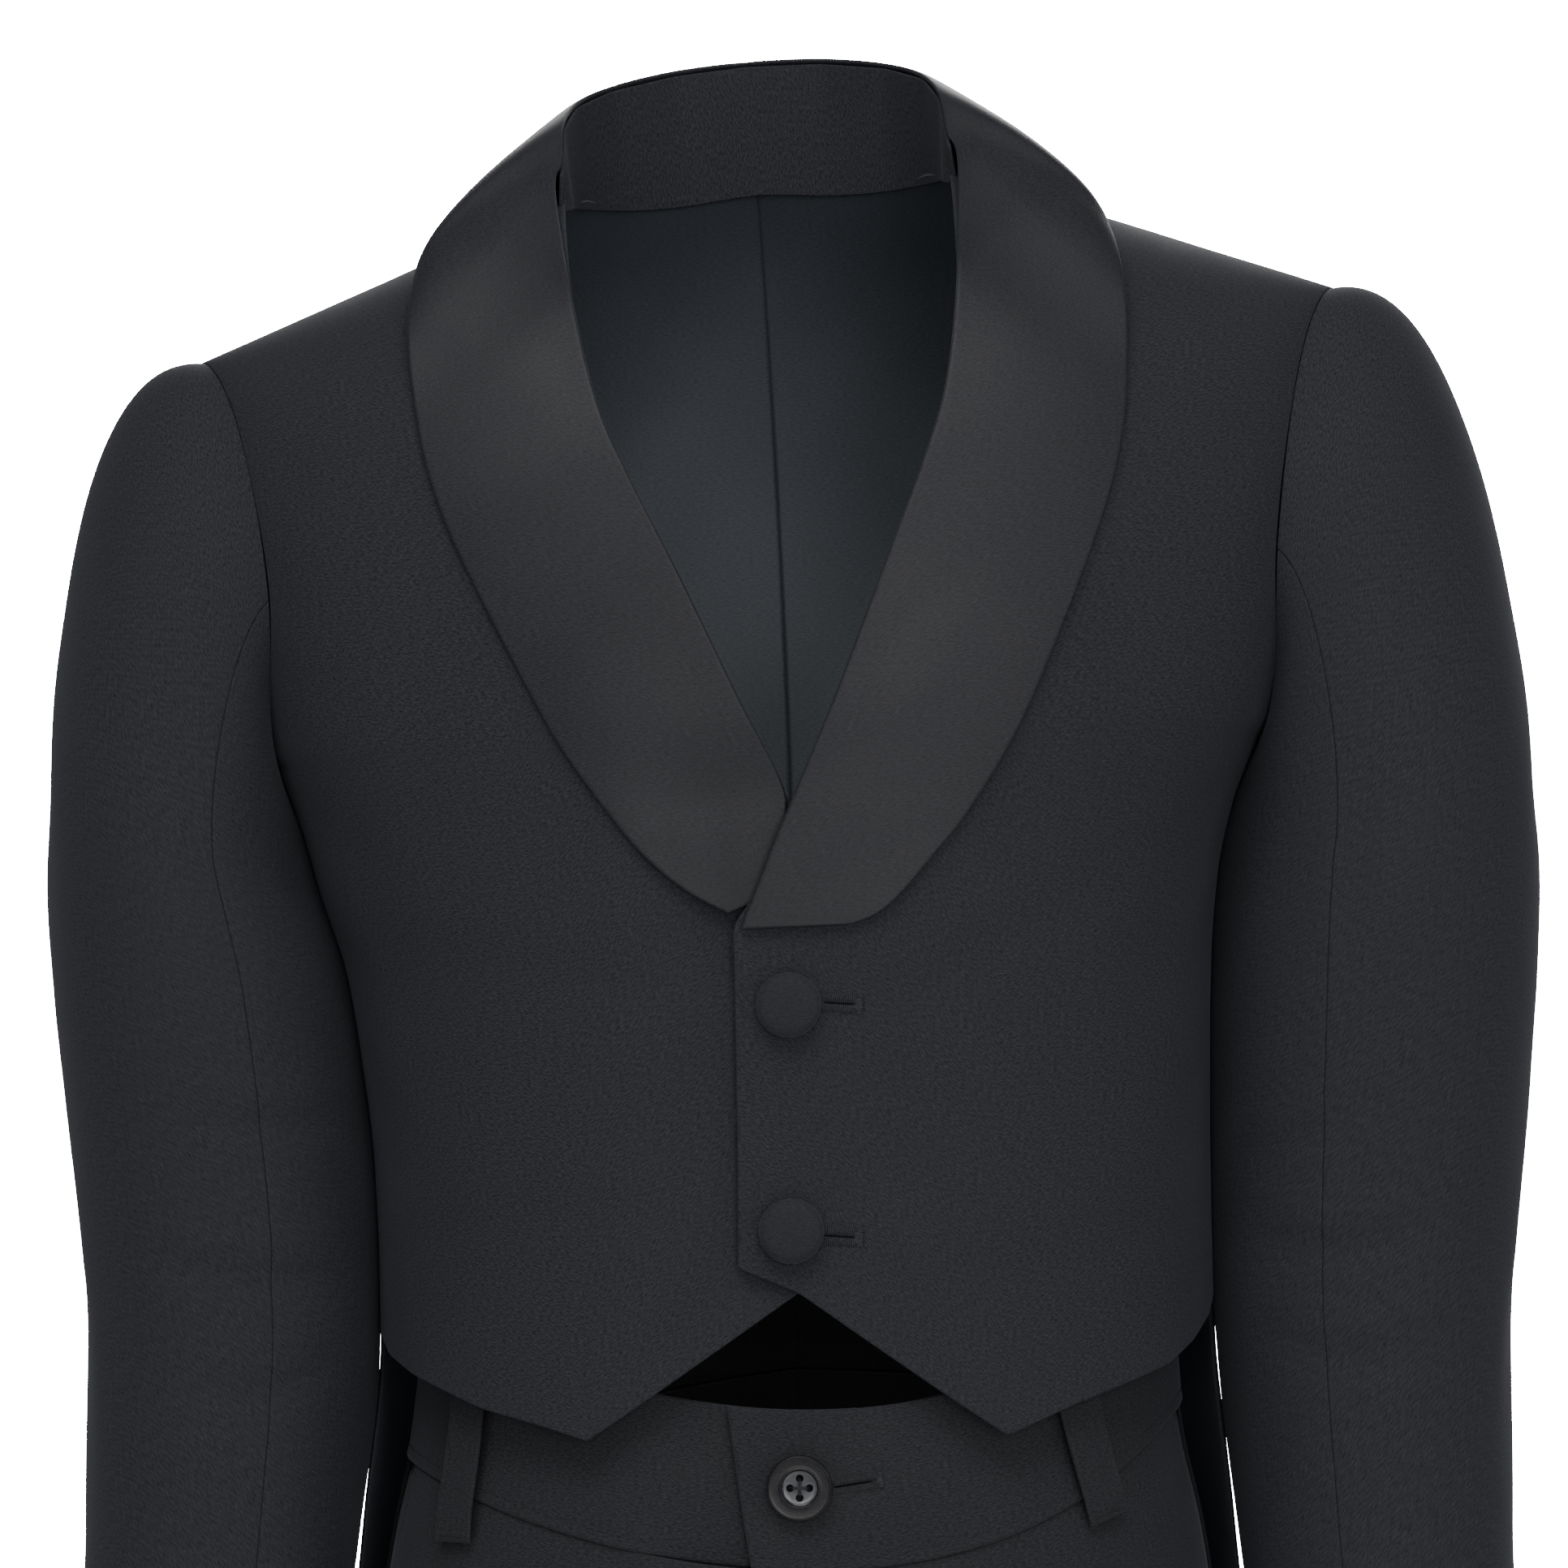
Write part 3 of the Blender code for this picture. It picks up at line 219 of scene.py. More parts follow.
# Trousers: outer is the side's distance from the centre plane, centre the leg's axis
TrouserRow = namedtuple("TrouserRow", "z outer centre front back")
TROUSER_ROWS = (
    TrouserRow(-270, 92.5, 0.0, 75.0, 71.0),
    TrouserRow(-290, 93.5, 0.0, 76.0, 73.0),
    TrouserRow(-310, 95.7, 0.0, 77.0, 76.0),
    TrouserRow(-334, 101.0, 0.0, 78.5, 81.0),
    TrouserRow(-352, 104.0, 0.0, 78.8, 84.0),
    TrouserRow(-375, 107.0, 5.0, 78.6, 86.0),
    TrouserRow(-400, 109.2, 17.0, 77.6, 86.0),
    TrouserRow(-425, 110.6, 32.0, 76.4, 84.4),
    TrouserRow(-445, 111.4, 44.5, 75.4, 82.2),
    TrouserRow(-460, 111.8, 52.6, 74.6, 80.4),
    TrouserRow(-470, 112.0, 56.4, 74.0, 79.0),
    TrouserRow(-500, 111.8, 57.2, 72.2, 75.2),
    TrouserRow(-560, 110.5, 58.6, 68.0, 69.0),
    TrouserRow(-650, 108.5, 60.2, 61.5, 62.8),
    TrouserRow(-780, 107.0, 61.6, 57.5, 59.0),
    TrouserRow(-930, 107.0, 63.0, 55.5, 57.5),
)
TROUSER_POWER = 2.3
HIP_Z = -370.0
CROTCH_Z = -470.0
TROUSER_HEM_Z = -930.0
CREASE_HEIGHT = 3.0
CREASE_SPREAD = 9.0
CREASE_START_ANGLE = 64.0
CREASE_TURN_REACH = 130.0
CREASE_RISE_REACH = 130.0

# Waistband, its lap, its loops and the slanted pockets
BAND_FRONT_Z = -341.6
BAND_SIDE_RISE = 38.0

# The waist seam's rise from the front to each side, which isn't the same
BandSide = namedtuple("BandSide", "rise power")
BAND_SIDES = {1.0: BandSide(38.0, 2.0), -1.0: BandSide(24.0, 1.6)}
BAND_BACK_RISE = 4.0
BAND_HEIGHT = 39.0
BAND_PROUD = 0.8
BAND_LAP_TOP = 18.0
BAND_LAP_FOOT = 11.0
BAND_UNDER_LAP = 14.0
BAND_HALF = 96.0
BAND_DIP_START_X = 46.0
BAND_DIP_REACH = 24.0
LOOP_WIDTH = 12.4
LOOP_STAND_OFF = 1.6
LOOP_ARCH_POWER = 0.7

# A loop's place round the waist, how far it hangs below the band, and how it slants and leans
Loop = namedtuple("Loop", "angle overhang slant lean")
LOOPS = {
    "belt_loop_front_left": Loop(42.5, 6.0, 3.6, 6.0),
    "belt_loop_front_right": Loop(-54.0, 12.0, 0.0, 1.5),
    "belt_loop_back_left": Loop(128.0, 3.0, 0.0, 0.0),
    "belt_loop_back_right": Loop(-128.0, 3.0, 0.0, 0.0),
    "belt_loop_centre_back": Loop(180.0, 3.0, 0.0, 0.0),
}
POCKET_TOP_ANGLE = 16.0
POCKET_END_ANGLE = 1.5
POCKET_END_Z = -440.0
POCKET_UNDER_ANGLE = 7.0
POCKET_BEHIND_ANGLE = 3.5
POCKET_CLOSE_REACH = 30.0
POCKET_CLOSE_ABOVE = 10.0
POCKET_DEPTH = 1.9

# Buttons
BUTTON_RADIUS = 8.0
BUTTON_X = -2.0
COVERED_BUTTON_THICK = 4.6
COVERED_BUTTON_STEPS = 128
BUTTON_PLEATS_FROM = 6.6
COVERED_BUTTONS = {"coat_button_upper": -204.0, "coat_button_lower": -259.0}
TROUSER_BUTTON_Z = -321.4
TROUSER_BUTTON_THICK = 3.2
TROUSER_BUTTON_STEPS = 96
TROUSER_BUTTON_RECESS = 4.3
THREAD_HOLE_RADIUS = 0.95
THREAD_HOLE_SPREAD = 2.35


# Small helpers

def mix(a, b, t):
    return a + (b - a) * t


def ease(t):
    t = min(1.0, max(0.0, t))
    return t * t * (3.0 - 2.0 * t)


def curve_at(before, a, b, after, t):
    """The smooth curve from a to b that heeds the points before and after them."""
    curve = a * 2.0 + (b - before) * t
    curve += (before * 2.0 - a * 5.0 + b * 4.0 - after) * t ** 2
    curve += (a * 3.0 - before - b * 3.0 + after) * t ** 3
    return curve * 0.5


def power(value, exponent):
    return math.copysign(abs(value) ** exponent, value)


@lru_cache(maxsize=None)
def knots_of(rows, column, key):
    """A table's column in order of its key, with a slope at each row that never overshoots."""
    ordered = sorted(rows, key=lambda row: getattr(row, key))
    keys = [getattr(row, key) for row in ordered]
    data = [getattr(row, column) for row in ordered]
    slopes = [(data[i + 1] - data[i]) / (keys[i + 1] - keys[i]) for i in range(len(keys) - 1)]
    tangents = [slopes[0]]
    for before, after in zip(slopes, slopes[1:]):
        same_way = before * after > 0.0
        tangents.append(2.0 * before * after / (before + after) if same_way else 0.0)
    tangents.append(slopes[-1])
    return keys, data, tangents


def read_table(rows, column, key, value):
    """One column of a table at a key between rows, along a curve that never overshoots."""
    keys, data, tangents = knots_of(rows, column, key)
    value = min(keys[-1], max(keys[0], value))
    i = max(k for k in range(len(keys) - 1) if keys[k] <= value)
    span = keys[i + 1] - keys[i]
    t = (value - keys[i]) / span
    bend = t * t * (3.0 - 2.0 * t)
    start = tangents[i] * span * t * (1.0 - t) ** 2
    end = tangents[i + 1] * span * t * t * (t - 1.0)
    return mix(data[i], data[i + 1], bend) + start + end


def straight_table(rows, column, key, value):
    """One column of a table at a key between rows, along straight runs."""
    for low, high in zip(rows, rows[1:]):
        if value <= getattr(high, key):
            break
    t = (value - getattr(low, key)) / (getattr(high, key) - getattr(low, key))
    return mix(getattr(low, column), getattr(high, column), max(0.0, t))


def lean(point):
    """Tips the upper body over, more with height, about the waist."""
    height = max(0.0, (point.z - WAIST_Z) / -WAIST_Z)
    tilt = math.tan(2.0 * LEAN_SHIFT / -WAIST_Z * height)
    return Vector((point.x - LEAN_SHIFT * height ** 2, point.y, point.z + point.x * tilt))


# The coat's form

def coat_half(side, z):
    return read_table(COAT_ROWS, "left" if side > 0 else "right", "z", z)


def coat_depth(back, z):
    return read_table(COAT_ROWS, "back" if back else "front", "z", z)


def ridge_z(x):
    return NECK_SIDE_Z - SHOULDER_SLOPE * (abs(x) - NECK_HALF)


def upper_half(side, rise):
    return mix(coat_half(side, ARMPIT_Z), SHOULDER_HALF, max(0.0, rise) ** SHOULDER_SPREAD_POWER)


def form_y(side, x, z, back=False):
    """Depth of the coat's outer form at a height and a distance from the centre."""
    sign = 1.0 if back else -1.0
    if z <= ARMPIT_Z:
        share = min(1.0, abs(x) / coat_half(side, z))
        flank = (1.0 - share ** SECTION_POWER) ** (1.0 / SECTION_POWER)
        return sign * coat_depth(back, z) * flank
    rise = min(1.0, (z - ARMPIT_Z) / (ridge_z(x) - ARMPIT_Z))
    share = min(1.0, abs(x) / upper_half(side, rise))
    flank = (1.0 - share ** SECTION_POWER) ** (1.0 / SECTION_POWER)
    slope = (1.0 - rise ** RISE_POWER) ** (1.0 / RISE_POWER)
    chest = sign * coat_depth(back, ARMPIT_Z) * flank
    return RIDGE_Y + (chest - RIDGE_Y) * slope


def form_point(side, angle, z=None, rise_angle=None, back=False):
    """A point of the form at an angle from the centre line, 0 to 90 at the side."""
    across = power(math.sin(math.radians(angle)), 2.0 / SECTION_POWER)
    deep = power(math.cos(math.radians(angle)), 2.0 / SECTION_POWER)
    sign = 1.0 if back else -1.0
    if rise_angle is None:
        y = sign * coat_depth(back, z) * deep
        return Vector((side * coat_half(side, z) * across, y, z))
    turn = math.radians(90.0) * min(1.0, max(0.0, rise_angle))
    rise = math.sin(turn) ** (2.0 / RISE_POWER)
    slope = max(0.0, math.cos(turn)) ** (2.0 / RISE_POWER)
    x = upper_half(side, rise) * across
    chest = sign * coat_depth(back, ARMPIT_Z) * deep
    y = RIDGE_Y + (chest - RIDGE_Y) * slope
    z = ARMPIT_Z + (ridge_z(x) - ARMPIT_Z) * rise
    return Vector((side * x, y, z))


def angle_at(x, half):
    return math.degrees(math.asin(power(min(1.0, abs(x) / half), SECTION_POWER / 2.0)
                                  * math.copysign(1.0, x)))


def armhole_angle(rise_angle):
    """The angle where a body panel ends at the armhole, 90 at the side and the shoulder."""
    rise_angle = min(1.0, max(0.0, rise_angle))
    scoop = rise_angle ** ARMHOLE_FOOT_POWER * (1.0 - rise_angle) ** ARMHOLE_TOP_POWER
    end = SHOULDER_END_ANGLE * ease(4.0 * rise_angle)
    return 90.0 - ARMHOLE_CUT * ARMHOLE_DEPTH * scoop - end


def under_lap(x, z):
    """How far the right front lies below the left one, by the distance from the centre."""
    depth = mix(DIP_FRONT, DIP_LAPEL, ease((z - DIP_CHANGE_Z) / DIP_CHANGE_REACH))
    above = 1.0 - ease((z - DIP_END_Z) / DIP_END_REACH)
    return depth * above * ease((DIP_START_X - x) / (DIP_START_X - DIP_FULL_X))


def front_point(side, u, v):
    """Outer face of a front: u from its edge to the side, v from hem (-1) to shoulder (1)."""
    bottom_half = coat_half(side, HEM_ROW_Z)
    hem_angle = mix(angle_at(-LAP, bottom_half), 90.0, u)
    hem_x = bottom_half * power(math.sin(math.radians(hem_angle)), 2.0 / SECTION_POWER)
    if v < 0.0:
        edge_z = mix(ARMPIT_Z, straight_table(FRONT_HEMS[side], "z", "x", -LAP), -v)
        edge_x = read_table(FRONT_EDGE, "x", "z", edge_z)
        angle = mix(angle_at(edge_x, coat_half(side, edge_z)), 90.0, u)
        z = mix(ARMPIT_Z, straight_table(FRONT_HEMS[side], "z", "x", hem_x), -v)
        point = form_point(side, angle, z=z)
    else:
        rise = math.sin(math.radians(90.0) * min(1.0, v)) ** (2.0 / RISE_POWER)
        edge_x = NECK_HALF
        for _ in range(SOLVE_ROUNDS):
            edge_z = ARMPIT_Z + (ridge_z(edge_x) - ARMPIT_Z) * rise
            edge_x = read_table(FRONT_EDGE, "x", "z", edge_z)
        angle = mix(angle_at(edge_x, upper_half(side, rise)), armhole_angle(v), u)
        point = form_point(side, angle, rise_angle=v)
    if side < 0:
        point.y += under_lap(side * point.x, point.z) * LAPEL_CLEARANCE
    return lean(point)


def tail_edge_angle(z):
    return 90.0 - TAIL_EDGE_TURN * ease((TAIL_EDGE_Z - z) / TAIL_EDGE_REACH)


def neck_rise(side, angle):
    """How far up a back panel goes: to the neckline near the centre, else to the shoulder."""
    top = 1.0
    for _ in range(SOLVE_ROUNDS):
        point = form_point(side, angle, rise_angle=top, back=True)
        share = min(1.0, abs(point.x) / NECK_HALF)
        neck_y = NECK_BACK_DEPTH * math.sqrt(1.0 - share ** 2)
        chest = form_point(side, angle, rise_angle=0.0, back=True).y - RIDGE_Y
        slope = min(1.0, neck_y / chest) if chest > 1.0 else 0.0
        top = math.degrees(math.acos(slope ** (RISE_POWER / 2.0))) / 90.0
    return top


def back_point(side, u, v):
    """Outer face of a back with its tail: u from the centre to the side, v from -1 to 1."""
    if v < 0.0:
        z = mix(ARMPIT_Z, TAIL_END_Z, -v)
        opened = TAIL_SPREAD * ease((TAIL_OPEN_Z - z) / TAIL_OPEN_REACH)
        start = angle_at(opened, coat_half(side, z))
        return lean(form_point(side, mix(start, tail_edge_angle(z), u), z=z, back=True))
    rise_angle = min(1.0, v) * mix(1.0, neck_rise(side, 90.0 * u), v)
    return lean(form_point(side, armhole_angle(v) * u, rise_angle=rise_angle, back=True))


# Sleeves

def armhole_rise(step_angle):
    share = 1.0 - abs(step_angle) / 180.0
    return max(0.0, share) ** ARMHOLE_RISE_POWER


def armhole_point(side, step_angle):
    """The armhole's edge on the body: 0 at the shoulder, 90 at the front, -90 at the back."""
    rise = armhole_rise(step_angle)
    back = step_angle < 0.0
    return form_point(side, armhole_angle(rise), rise_angle=rise, back=back)


def sleeve_ring(side, step_angle, z):
    inner = read_table(SLEEVE_ROWS, "inner_left" if side > 0 else "inner_right", "z", z)
    half_width = (read_table(SLEEVE_ROWS, "outer", "z", z) - inner) / 2.0
    half_depth = read_table(SLEEVE_ROWS, "half_depth", "z", z)
    y = read_table(SLEEVE_ROWS, "y", "z", z)
    across = power(math.cos(math.radians(step_angle)), 2.0 / SLEEVE_POWER)
    deep = power(math.sin(math.radians(step_angle)), 2.0 / SLEEVE_POWER)
    x = inner + half_width * (1.0 + across)
    return Vector((side * x, y - half_depth * deep, z))


def sleeve_point(side, step_angle, v):
    """Outer face of a sleeve: v from the armhole (0) over the cap (1) to the cuff (2)."""
    turn = (step_angle + 180.0) % 360.0 - 180.0
    c = math.cos(math.radians(turn))
    s = math.sin(math.radians(turn))
    cap_z = CAP_END_Z + CAP_TILT * c
    if v > 1.0:
        return lean(sleeve_ring(side, turn, mix(cap_z, CUFF_Z + CUFF_TILT * c, v - 1.0)))
    aside, aside_turn = CAP_LEAVE_SIDE
    rise, rise_turn = CAP_LEAVE_UP
    leave = Vector((side * (aside + aside_turn * c), CAP_LEAVE_FRONT * s, rise + rise_turn * c))
    leave.normalize()
    out = Vector((side * (0.5 - 0.5 * c), 0.0, 0.0))
    start = armhole_point(side, turn) + leave * CAP_SEAM_GAP + out * CAP_SIDE_GAP
    end = sleeve_ring(side, turn, cap_z)
    reach = (end - start).length * (CAP_FULLNESS[0] + CAP_FULLNESS[1] * c)
    arrive = (sleeve_ring(side, turn, cap_z - CAP_END_STEP) - end).normalized()
    v = max(0.0, v)
    point = start * (2.0 * v ** 3 - 3.0 * v ** 2 + 1.0)
    point += leave * reach * (v ** 3 - 2.0 * v ** 2 + v)
    point += end * (3.0 * v ** 2 - 2.0 * v ** 3)
    point += arrive * reach * (v ** 3 - v ** 2)
    return lean(point)


# Shawl collar

def on_form(side, x, z, out, back=False):
    """A point of the coat's form at x and z, moved out along its normal."""
    def spot(a, b):
        y = form_y(side, a, b, back)
        if side < 0 and not back:
            y += under_lap(a, b)
        return Vector((a, y, b))
    step = 0.2
    here = spot(x, z)
    across = spot(x + step, z) - spot(x - step, z)
    up = here - spot(x, z - step)
    normal = across.cross(up).normalized()
    if back:
        normal = -normal
    point = here + normal * out
    return Vector((side * point.x, point.y, point.z))


def shawl_rows(side):
    foot = LAPEL_FOOT_LEFT if side > 0 else LAPEL_FOOT_RIGHT
    return COLLAR_ROWS + LAPEL_ROWS + foot


def shawl_out(x, z):
    """How far the shawl's outer face stands off the coat: more over the shoulder."""
    lift = ease((z - ridge_z(x) + SHOULDER_LIFT_BELOW) / SHOULDER_LIFT_REACH)
    return LAPEL_GAP + SATIN_WALL + SHOULDER_LIFT * lift


def shawl_row_point(side, row, u):
    """A shawl point in one row: u from the roll (0) to the outer edge (1)."""
    out = shawl_out(row.edge_x, row.edge_z)
    edge = on_form(side, row.edge_x, row.edge_z, out, row.edge_at_back)
    if row.roll_y is None:
        x = mix(row.roll_x, row.edge_x, u)
        z = mix(row.roll_z, row.edge_z, u)
        return on_form(side, x, min(z, ridge_z(x) - RIDGE_CLEARANCE), shawl_out(x, z))
    roll = Vector((side * row.roll_x, row.roll_y, row.roll_z))
    away = Vector((edge.x - roll.x, edge.y - roll.y, 0.0)).normalized()
    corner = roll + away * ROLL_REACH
    low = edge + Vector((0.0, 0.0, FALL_LIFT)) - away * FALL_TUCK
    return (roll * (1.0 - u) ** 3 + corner * 3.0 * u * (1.0 - u) ** 2
            + low * 3.0 * u ** 2 * (1.0 - u) + edge * u ** 3)


def shawl_point(side, u, v):
    """The shawl between its rows, v counted in rows."""
    rows = shawl_rows(side)
    v = min(len(rows) - 1.0, max(0.0, v))
    i = min(len(rows) - 2, int(v))
    picks = [rows[min(len(rows) - 1, abs(i + k))] for k in (-1, 0, 1, 2)]
    points = [shawl_row_point(side, row, u) for row in picks]
    if i == 0:
        points[0].x = -points[0].x
    return lean(curve_at(*points, v - i))


def neck_seam(side, v):
    """The coat's neckline, v counted in shawl rows from the centre back."""
    turn = min(1.0, v / NECK_SIDE_ROW) * math.radians(90.0)
    if v <= NECK_SIDE_ROW:
        x = NECK_HALF * math.sin(turn)
        y = RIDGE_Y + NECK_BACK_DEPTH * math.cos(turn)
        low, high = ARMPIT_Z, ridge_z(x)
        for _ in range(3 * SOLVE_ROUNDS):
            z = 0.5 * (low + high)
            if form_y(side, x, z, True) > y:
                low = z
            else:
                high = z
        return Vector((side * x, y, z))
    z = mix(NECK_SIDE_Z - NECK_SIDE_DROP, NECK_FRONT_Z, (v - NECK_SIDE_ROW) / NECK_FRONT_ROWS)
    return on_form(side, NECK_HALF, z, 0.0)


def stand_point(u, v):
    """Outer face of the stand: u from the neck seam (0) up to the roll (1)."""
    side = 1.0 if v >= 0.0 else -1.0
    row = abs(v)
    foot = neck_seam(side, row)
    foot.z = neck_seam(side, math.hypot(row, STAND_CENTRE_SOFT)).z + STAND_FOOT_GAP
    turn = min(1.0, row / NECK_SIDE_ROW) * math.radians(90.0)
    ending = ease((row - STAND_LAST_ROW + STAND_END_BEFORE) / STAND_END_REACH)
    inward = STAND_FOOT_IN * (1.0 - STAND_END_OUT * ending)
    foot -= Vector((side * math.sin(turn), math.cos(turn), 0.0)) * inward
    rows = shawl_rows(side)
    i = min(STAND_LAST_ROW - 1, int(row))
    low = rows[i]
    high = rows[i + 1]
    t = row - i
    roll = Vector((side * mix(low.roll_x, high.roll_x, t),
                   mix(low.roll_y, high.roll_y, t),
                   mix(low.roll_z, high.roll_z, t)))
    top = roll - Vector((0.0, 0.0, STAND_TOP_GAP))
    return lean(foot.lerp(top, u))


# Trousers

def trouser_value(column, z):
    return read_table(TROUSER_ROWS, column, "z", z)


def cut_angle(z):
    """The angle round a leg, from its outer side, where the centre plane cuts it."""
    centre = trouser_value("centre", z)
    width = trouser_value("outer", z) - centre
    share = min(1.0, centre / width)
    if z <= CROTCH_Z:
        return 180.0
    return math.degrees(math.acos(-(share ** (TROUSER_POWER / 2.0))))


def trouser_ring(side, angle, z, out=0.0):
    """A leg's outer form: angle 0 at the side, 90 in front, -90 behind."""
    centre = trouser_value("centre", z)
    width = trouser_value("outer", z) - centre + out
    depth = trouser_value("front" if angle > 0.0 else "back", z) + out
    across = power(math.cos(math.radians(angle)), 2.0 / TROUSER_POWER)
    deep = power(math.sin(math.radians(angle)), 2.0 / TROUSER_POWER)
    pressed = ease((HIP_Z - z) / CREASE_RISE_REACH) * CREASE_HEIGHT
    crease = mix(CREASE_START_ANGLE, 90.0, ease((HIP_Z - z) / CREASE_TURN_REACH))
    away = (abs(angle) - crease) / CREASE_SPREAD
    y = -depth * deep - math.copysign(pressed * math.exp(-away ** 2), angle)
    return Vector((side * (centre + width * across), y, z))


def band_foot_z(angle):
    """Height of the waist seam, by the signed angle from the centre front."""
    across = abs(math.sin(math.radians(angle)))
    hang = BAND_SIDES[1.0 if angle >= 0.0 else -1.0]
    if abs(angle) <= 90.0:
        return BAND_FRONT_Z + hang.rise * across ** hang.power
    return BAND_FRONT_Z + mix(BAND_SIDE_RISE + BAND_BACK_RISE, hang.rise, across)


def trouser_z(side, angle, v):
    """Height in a leg panel: v 0 at the waist seam, 1 at the hip, 2 at the hem."""
    if v < 1.0:
        return mix(band_foot_z(side * (90.0 - angle)), HIP_Z, v)
    return mix(HIP_Z, TROUSER_HEM_Z, v - 1.0)


def pocket_angle(z):
    share = (BAND_FRONT_Z + BAND_SIDE_RISE - z) / (BAND_FRONT_Z + BAND_SIDE_RISE - POCKET_END_Z)
    return mix(POCKET_TOP_ANGLE, POCKET_END_ANGLE, min(1.0, max(0.0, share)))


def leg_front_point(side, u, v):
    """Front of a leg: u from the side or pocket edge to the centre seam or inseam."""
    guess = trouser_z(side, 45.0, v)
    closing = ease((POCKET_END_Z + POCKET_CLOSE_ABOVE - guess) / POCKET_CLOSE_REACH)
    side_angle = pocket_angle(guess) * (1.0 - closing)
    angle = mix(side_angle, cut_angle(guess), u)
    return trouser_ring(side, angle, trouser_z(side, min(angle, 90.0), v))


def leg_back_point(side, u, v):
    """Back of a leg: u from the side seam to the centre seam or inseam."""
    angle = -mix(0.0, cut_angle(trouser_z(side, 0.0, v)), u)
    return trouser_ring(side, angle - 0.001, trouser_z(side, max(angle, -90.0), v))


def pocket_point(side, u, v):
    """The hip piece under the pocket's slanted edge: u front to back, v top to bottom."""
    top = band_foot_z(side * 90.0) - POCKET_DEPTH
    z = mix(top, POCKET_END_Z, v)
    angle = mix(pocket_angle(z) + POCKET_UNDER_ANGLE, -POCKET_BEHIND_ANGLE, u)
    return trouser_ring(side, angle, z, -POCKET_DEPTH)


def band_ring(angle, z, out):
    """The waistband's form, by the signed angle from the centre front."""
    side = 1.0 if angle >= 0.0 else -1.0
    return trouser_ring(side, 90.0 - abs(angle), z, out)


def band_angle(x):
    return math.degrees(math.asin((x / BAND_HALF) ** (TROUSER_POWER / 2.0)))


def band_point(side, u, v):
    """A half of the waistband: u from its lapped end to the centre back, v up the band."""
    lap = mix(BAND_LAP_FOOT, BAND_LAP_TOP, v) if side > 0 else BAND_UNDER_LAP
    angle = mix(-band_angle(lap), 180.0, u)
    z = band_foot_z(side * angle) + BAND_HEIGHT * v
    dip = 0.0
    point = band_ring(angle, z, BAND_PROUD)
    if side < 0 and angle <= 90.0:
        dip = (BAND_WALL + 2.0 * PLY_GAP) * ease((BAND_DIP_START_X - point.x) / BAND_DIP_REACH)
    return Vector((side * point.x, point.y + dip, point.z))


def loop_point(loop, u, v):
    """A belt loop over the band: u across, v up, held down at both ends."""
    spread = LOOP_WIDTH / 2.0 * (2.0 * u - 1.0)
    foot = band_foot_z(loop.angle) - loop.overhang + loop.slant * (u - 0.5)
    z = mix(foot, band_foot_z(loop.angle) + BAND_HEIGHT, v)
    angle = loop.angle + loop.lean * (0.5 - v)
    middle = band_ring(angle, z, BAND_PROUD)
    beside = band_ring(angle + 1.0, z, BAND_PROUD) - band_ring(angle - 1.0, z, BAND_PROUD)
    beside.z = 0.0
    beside.normalize()
    outward = Vector((-beside.y, beside.x, 0.0))
    if outward.dot(Vector((middle.x, middle.y, 0.0))) < 0.0:
        outward = -outward
    arch = max(0.0, math.sin(math.pi * v)) ** LOOP_ARCH_POWER
    stand_off = PLY_GAP + LOOP_WALL + LOOP_STAND_OFF * arch
    return middle + beside * spread + outward * stand_off


# Shells of cloth

EDGE_LINES = (0.12, 0.3, 0.6, 1.1, 2.0)
SIDES = {"left": 1.0, "right": -1.0}

# A crease runs from start over bend to end, in millimetres across and up the cloth
Crease = namedtuple("Crease", "start bend end width depth")
CREASE_STEPS = 24
RIDGE_HEIGHT = 0.55
RIDGE_AWAY = 1.7
RIDGE_SPREAD = 1.1
INNER_TURN = 0.4


def spaced(start, end, count):
    return [mix(start, end, i / count) for i in range(count + 1)]


def side_name(side):
    return "left" if side > 0 else "right"


def new_mesh(name, builder):
    mesh = bpy.data.meshes.new(name)
    builder.to_mesh(mesh)
    builder.free()
    return mesh


def lines(start, end, count, per_unit, first=True, last=True, extra=()):
    """Grid lines from start to end, with close ones beside an edge that is turned or seamed."""
    near = [start + d / per_unit for d in EDGE_LINES] if first else []
    far = [end - d / per_unit for d in EDGE_LINES] if last else []
    low = max(near, default=start)
    high = min(far, default=end)
    middle = spaced(low, high, count) + list(extra)
    return sorted(set(round(x, 6) for x in [start, end] + near + far + middle))


def grid_of(point, us, vs):
    """The outer face at every crossing of the grid lines, in millimetres."""
    return np.array([[tuple(point(u, v)) for v in vs] for u in us])


def outward_of(grid, facing):
    across = np.gradient(grid, axis=0)
    along = np.gradient(grid, axis=1)
    normal = np.cross(across, along) * facing
    return normal / np.maximum(np.linalg.norm(normal, axis=2, keepdims=True), 1e-9)


def runs_of(grid):
    """Distances along the cloth from its four edges: first and last line each way."""
    across = np.linalg.norm(np.diff(grid, axis=0), axis=2)
    along = np.linalg.norm(np.diff(grid, axis=1), axis=2)
    from_first = np.vstack([np.zeros((1, grid.shape[1])), np.cumsum(across, axis=0)])
    from_foot = np.hstack([np.zeros((grid.shape[0], 1)), np.cumsum(along, axis=1)])
    return from_first, from_first[-1:] - from_first, from_foot, from_foot[:, -1:] - from_foot


def turned(distance, radius):
    """How far a face falls back where the cloth rolls round at its edge."""
    near = np.clip(radius - distance, 0.0, radius)
    return radius - np.sqrt(np.maximum(radius * radius - near * near, 0.0))


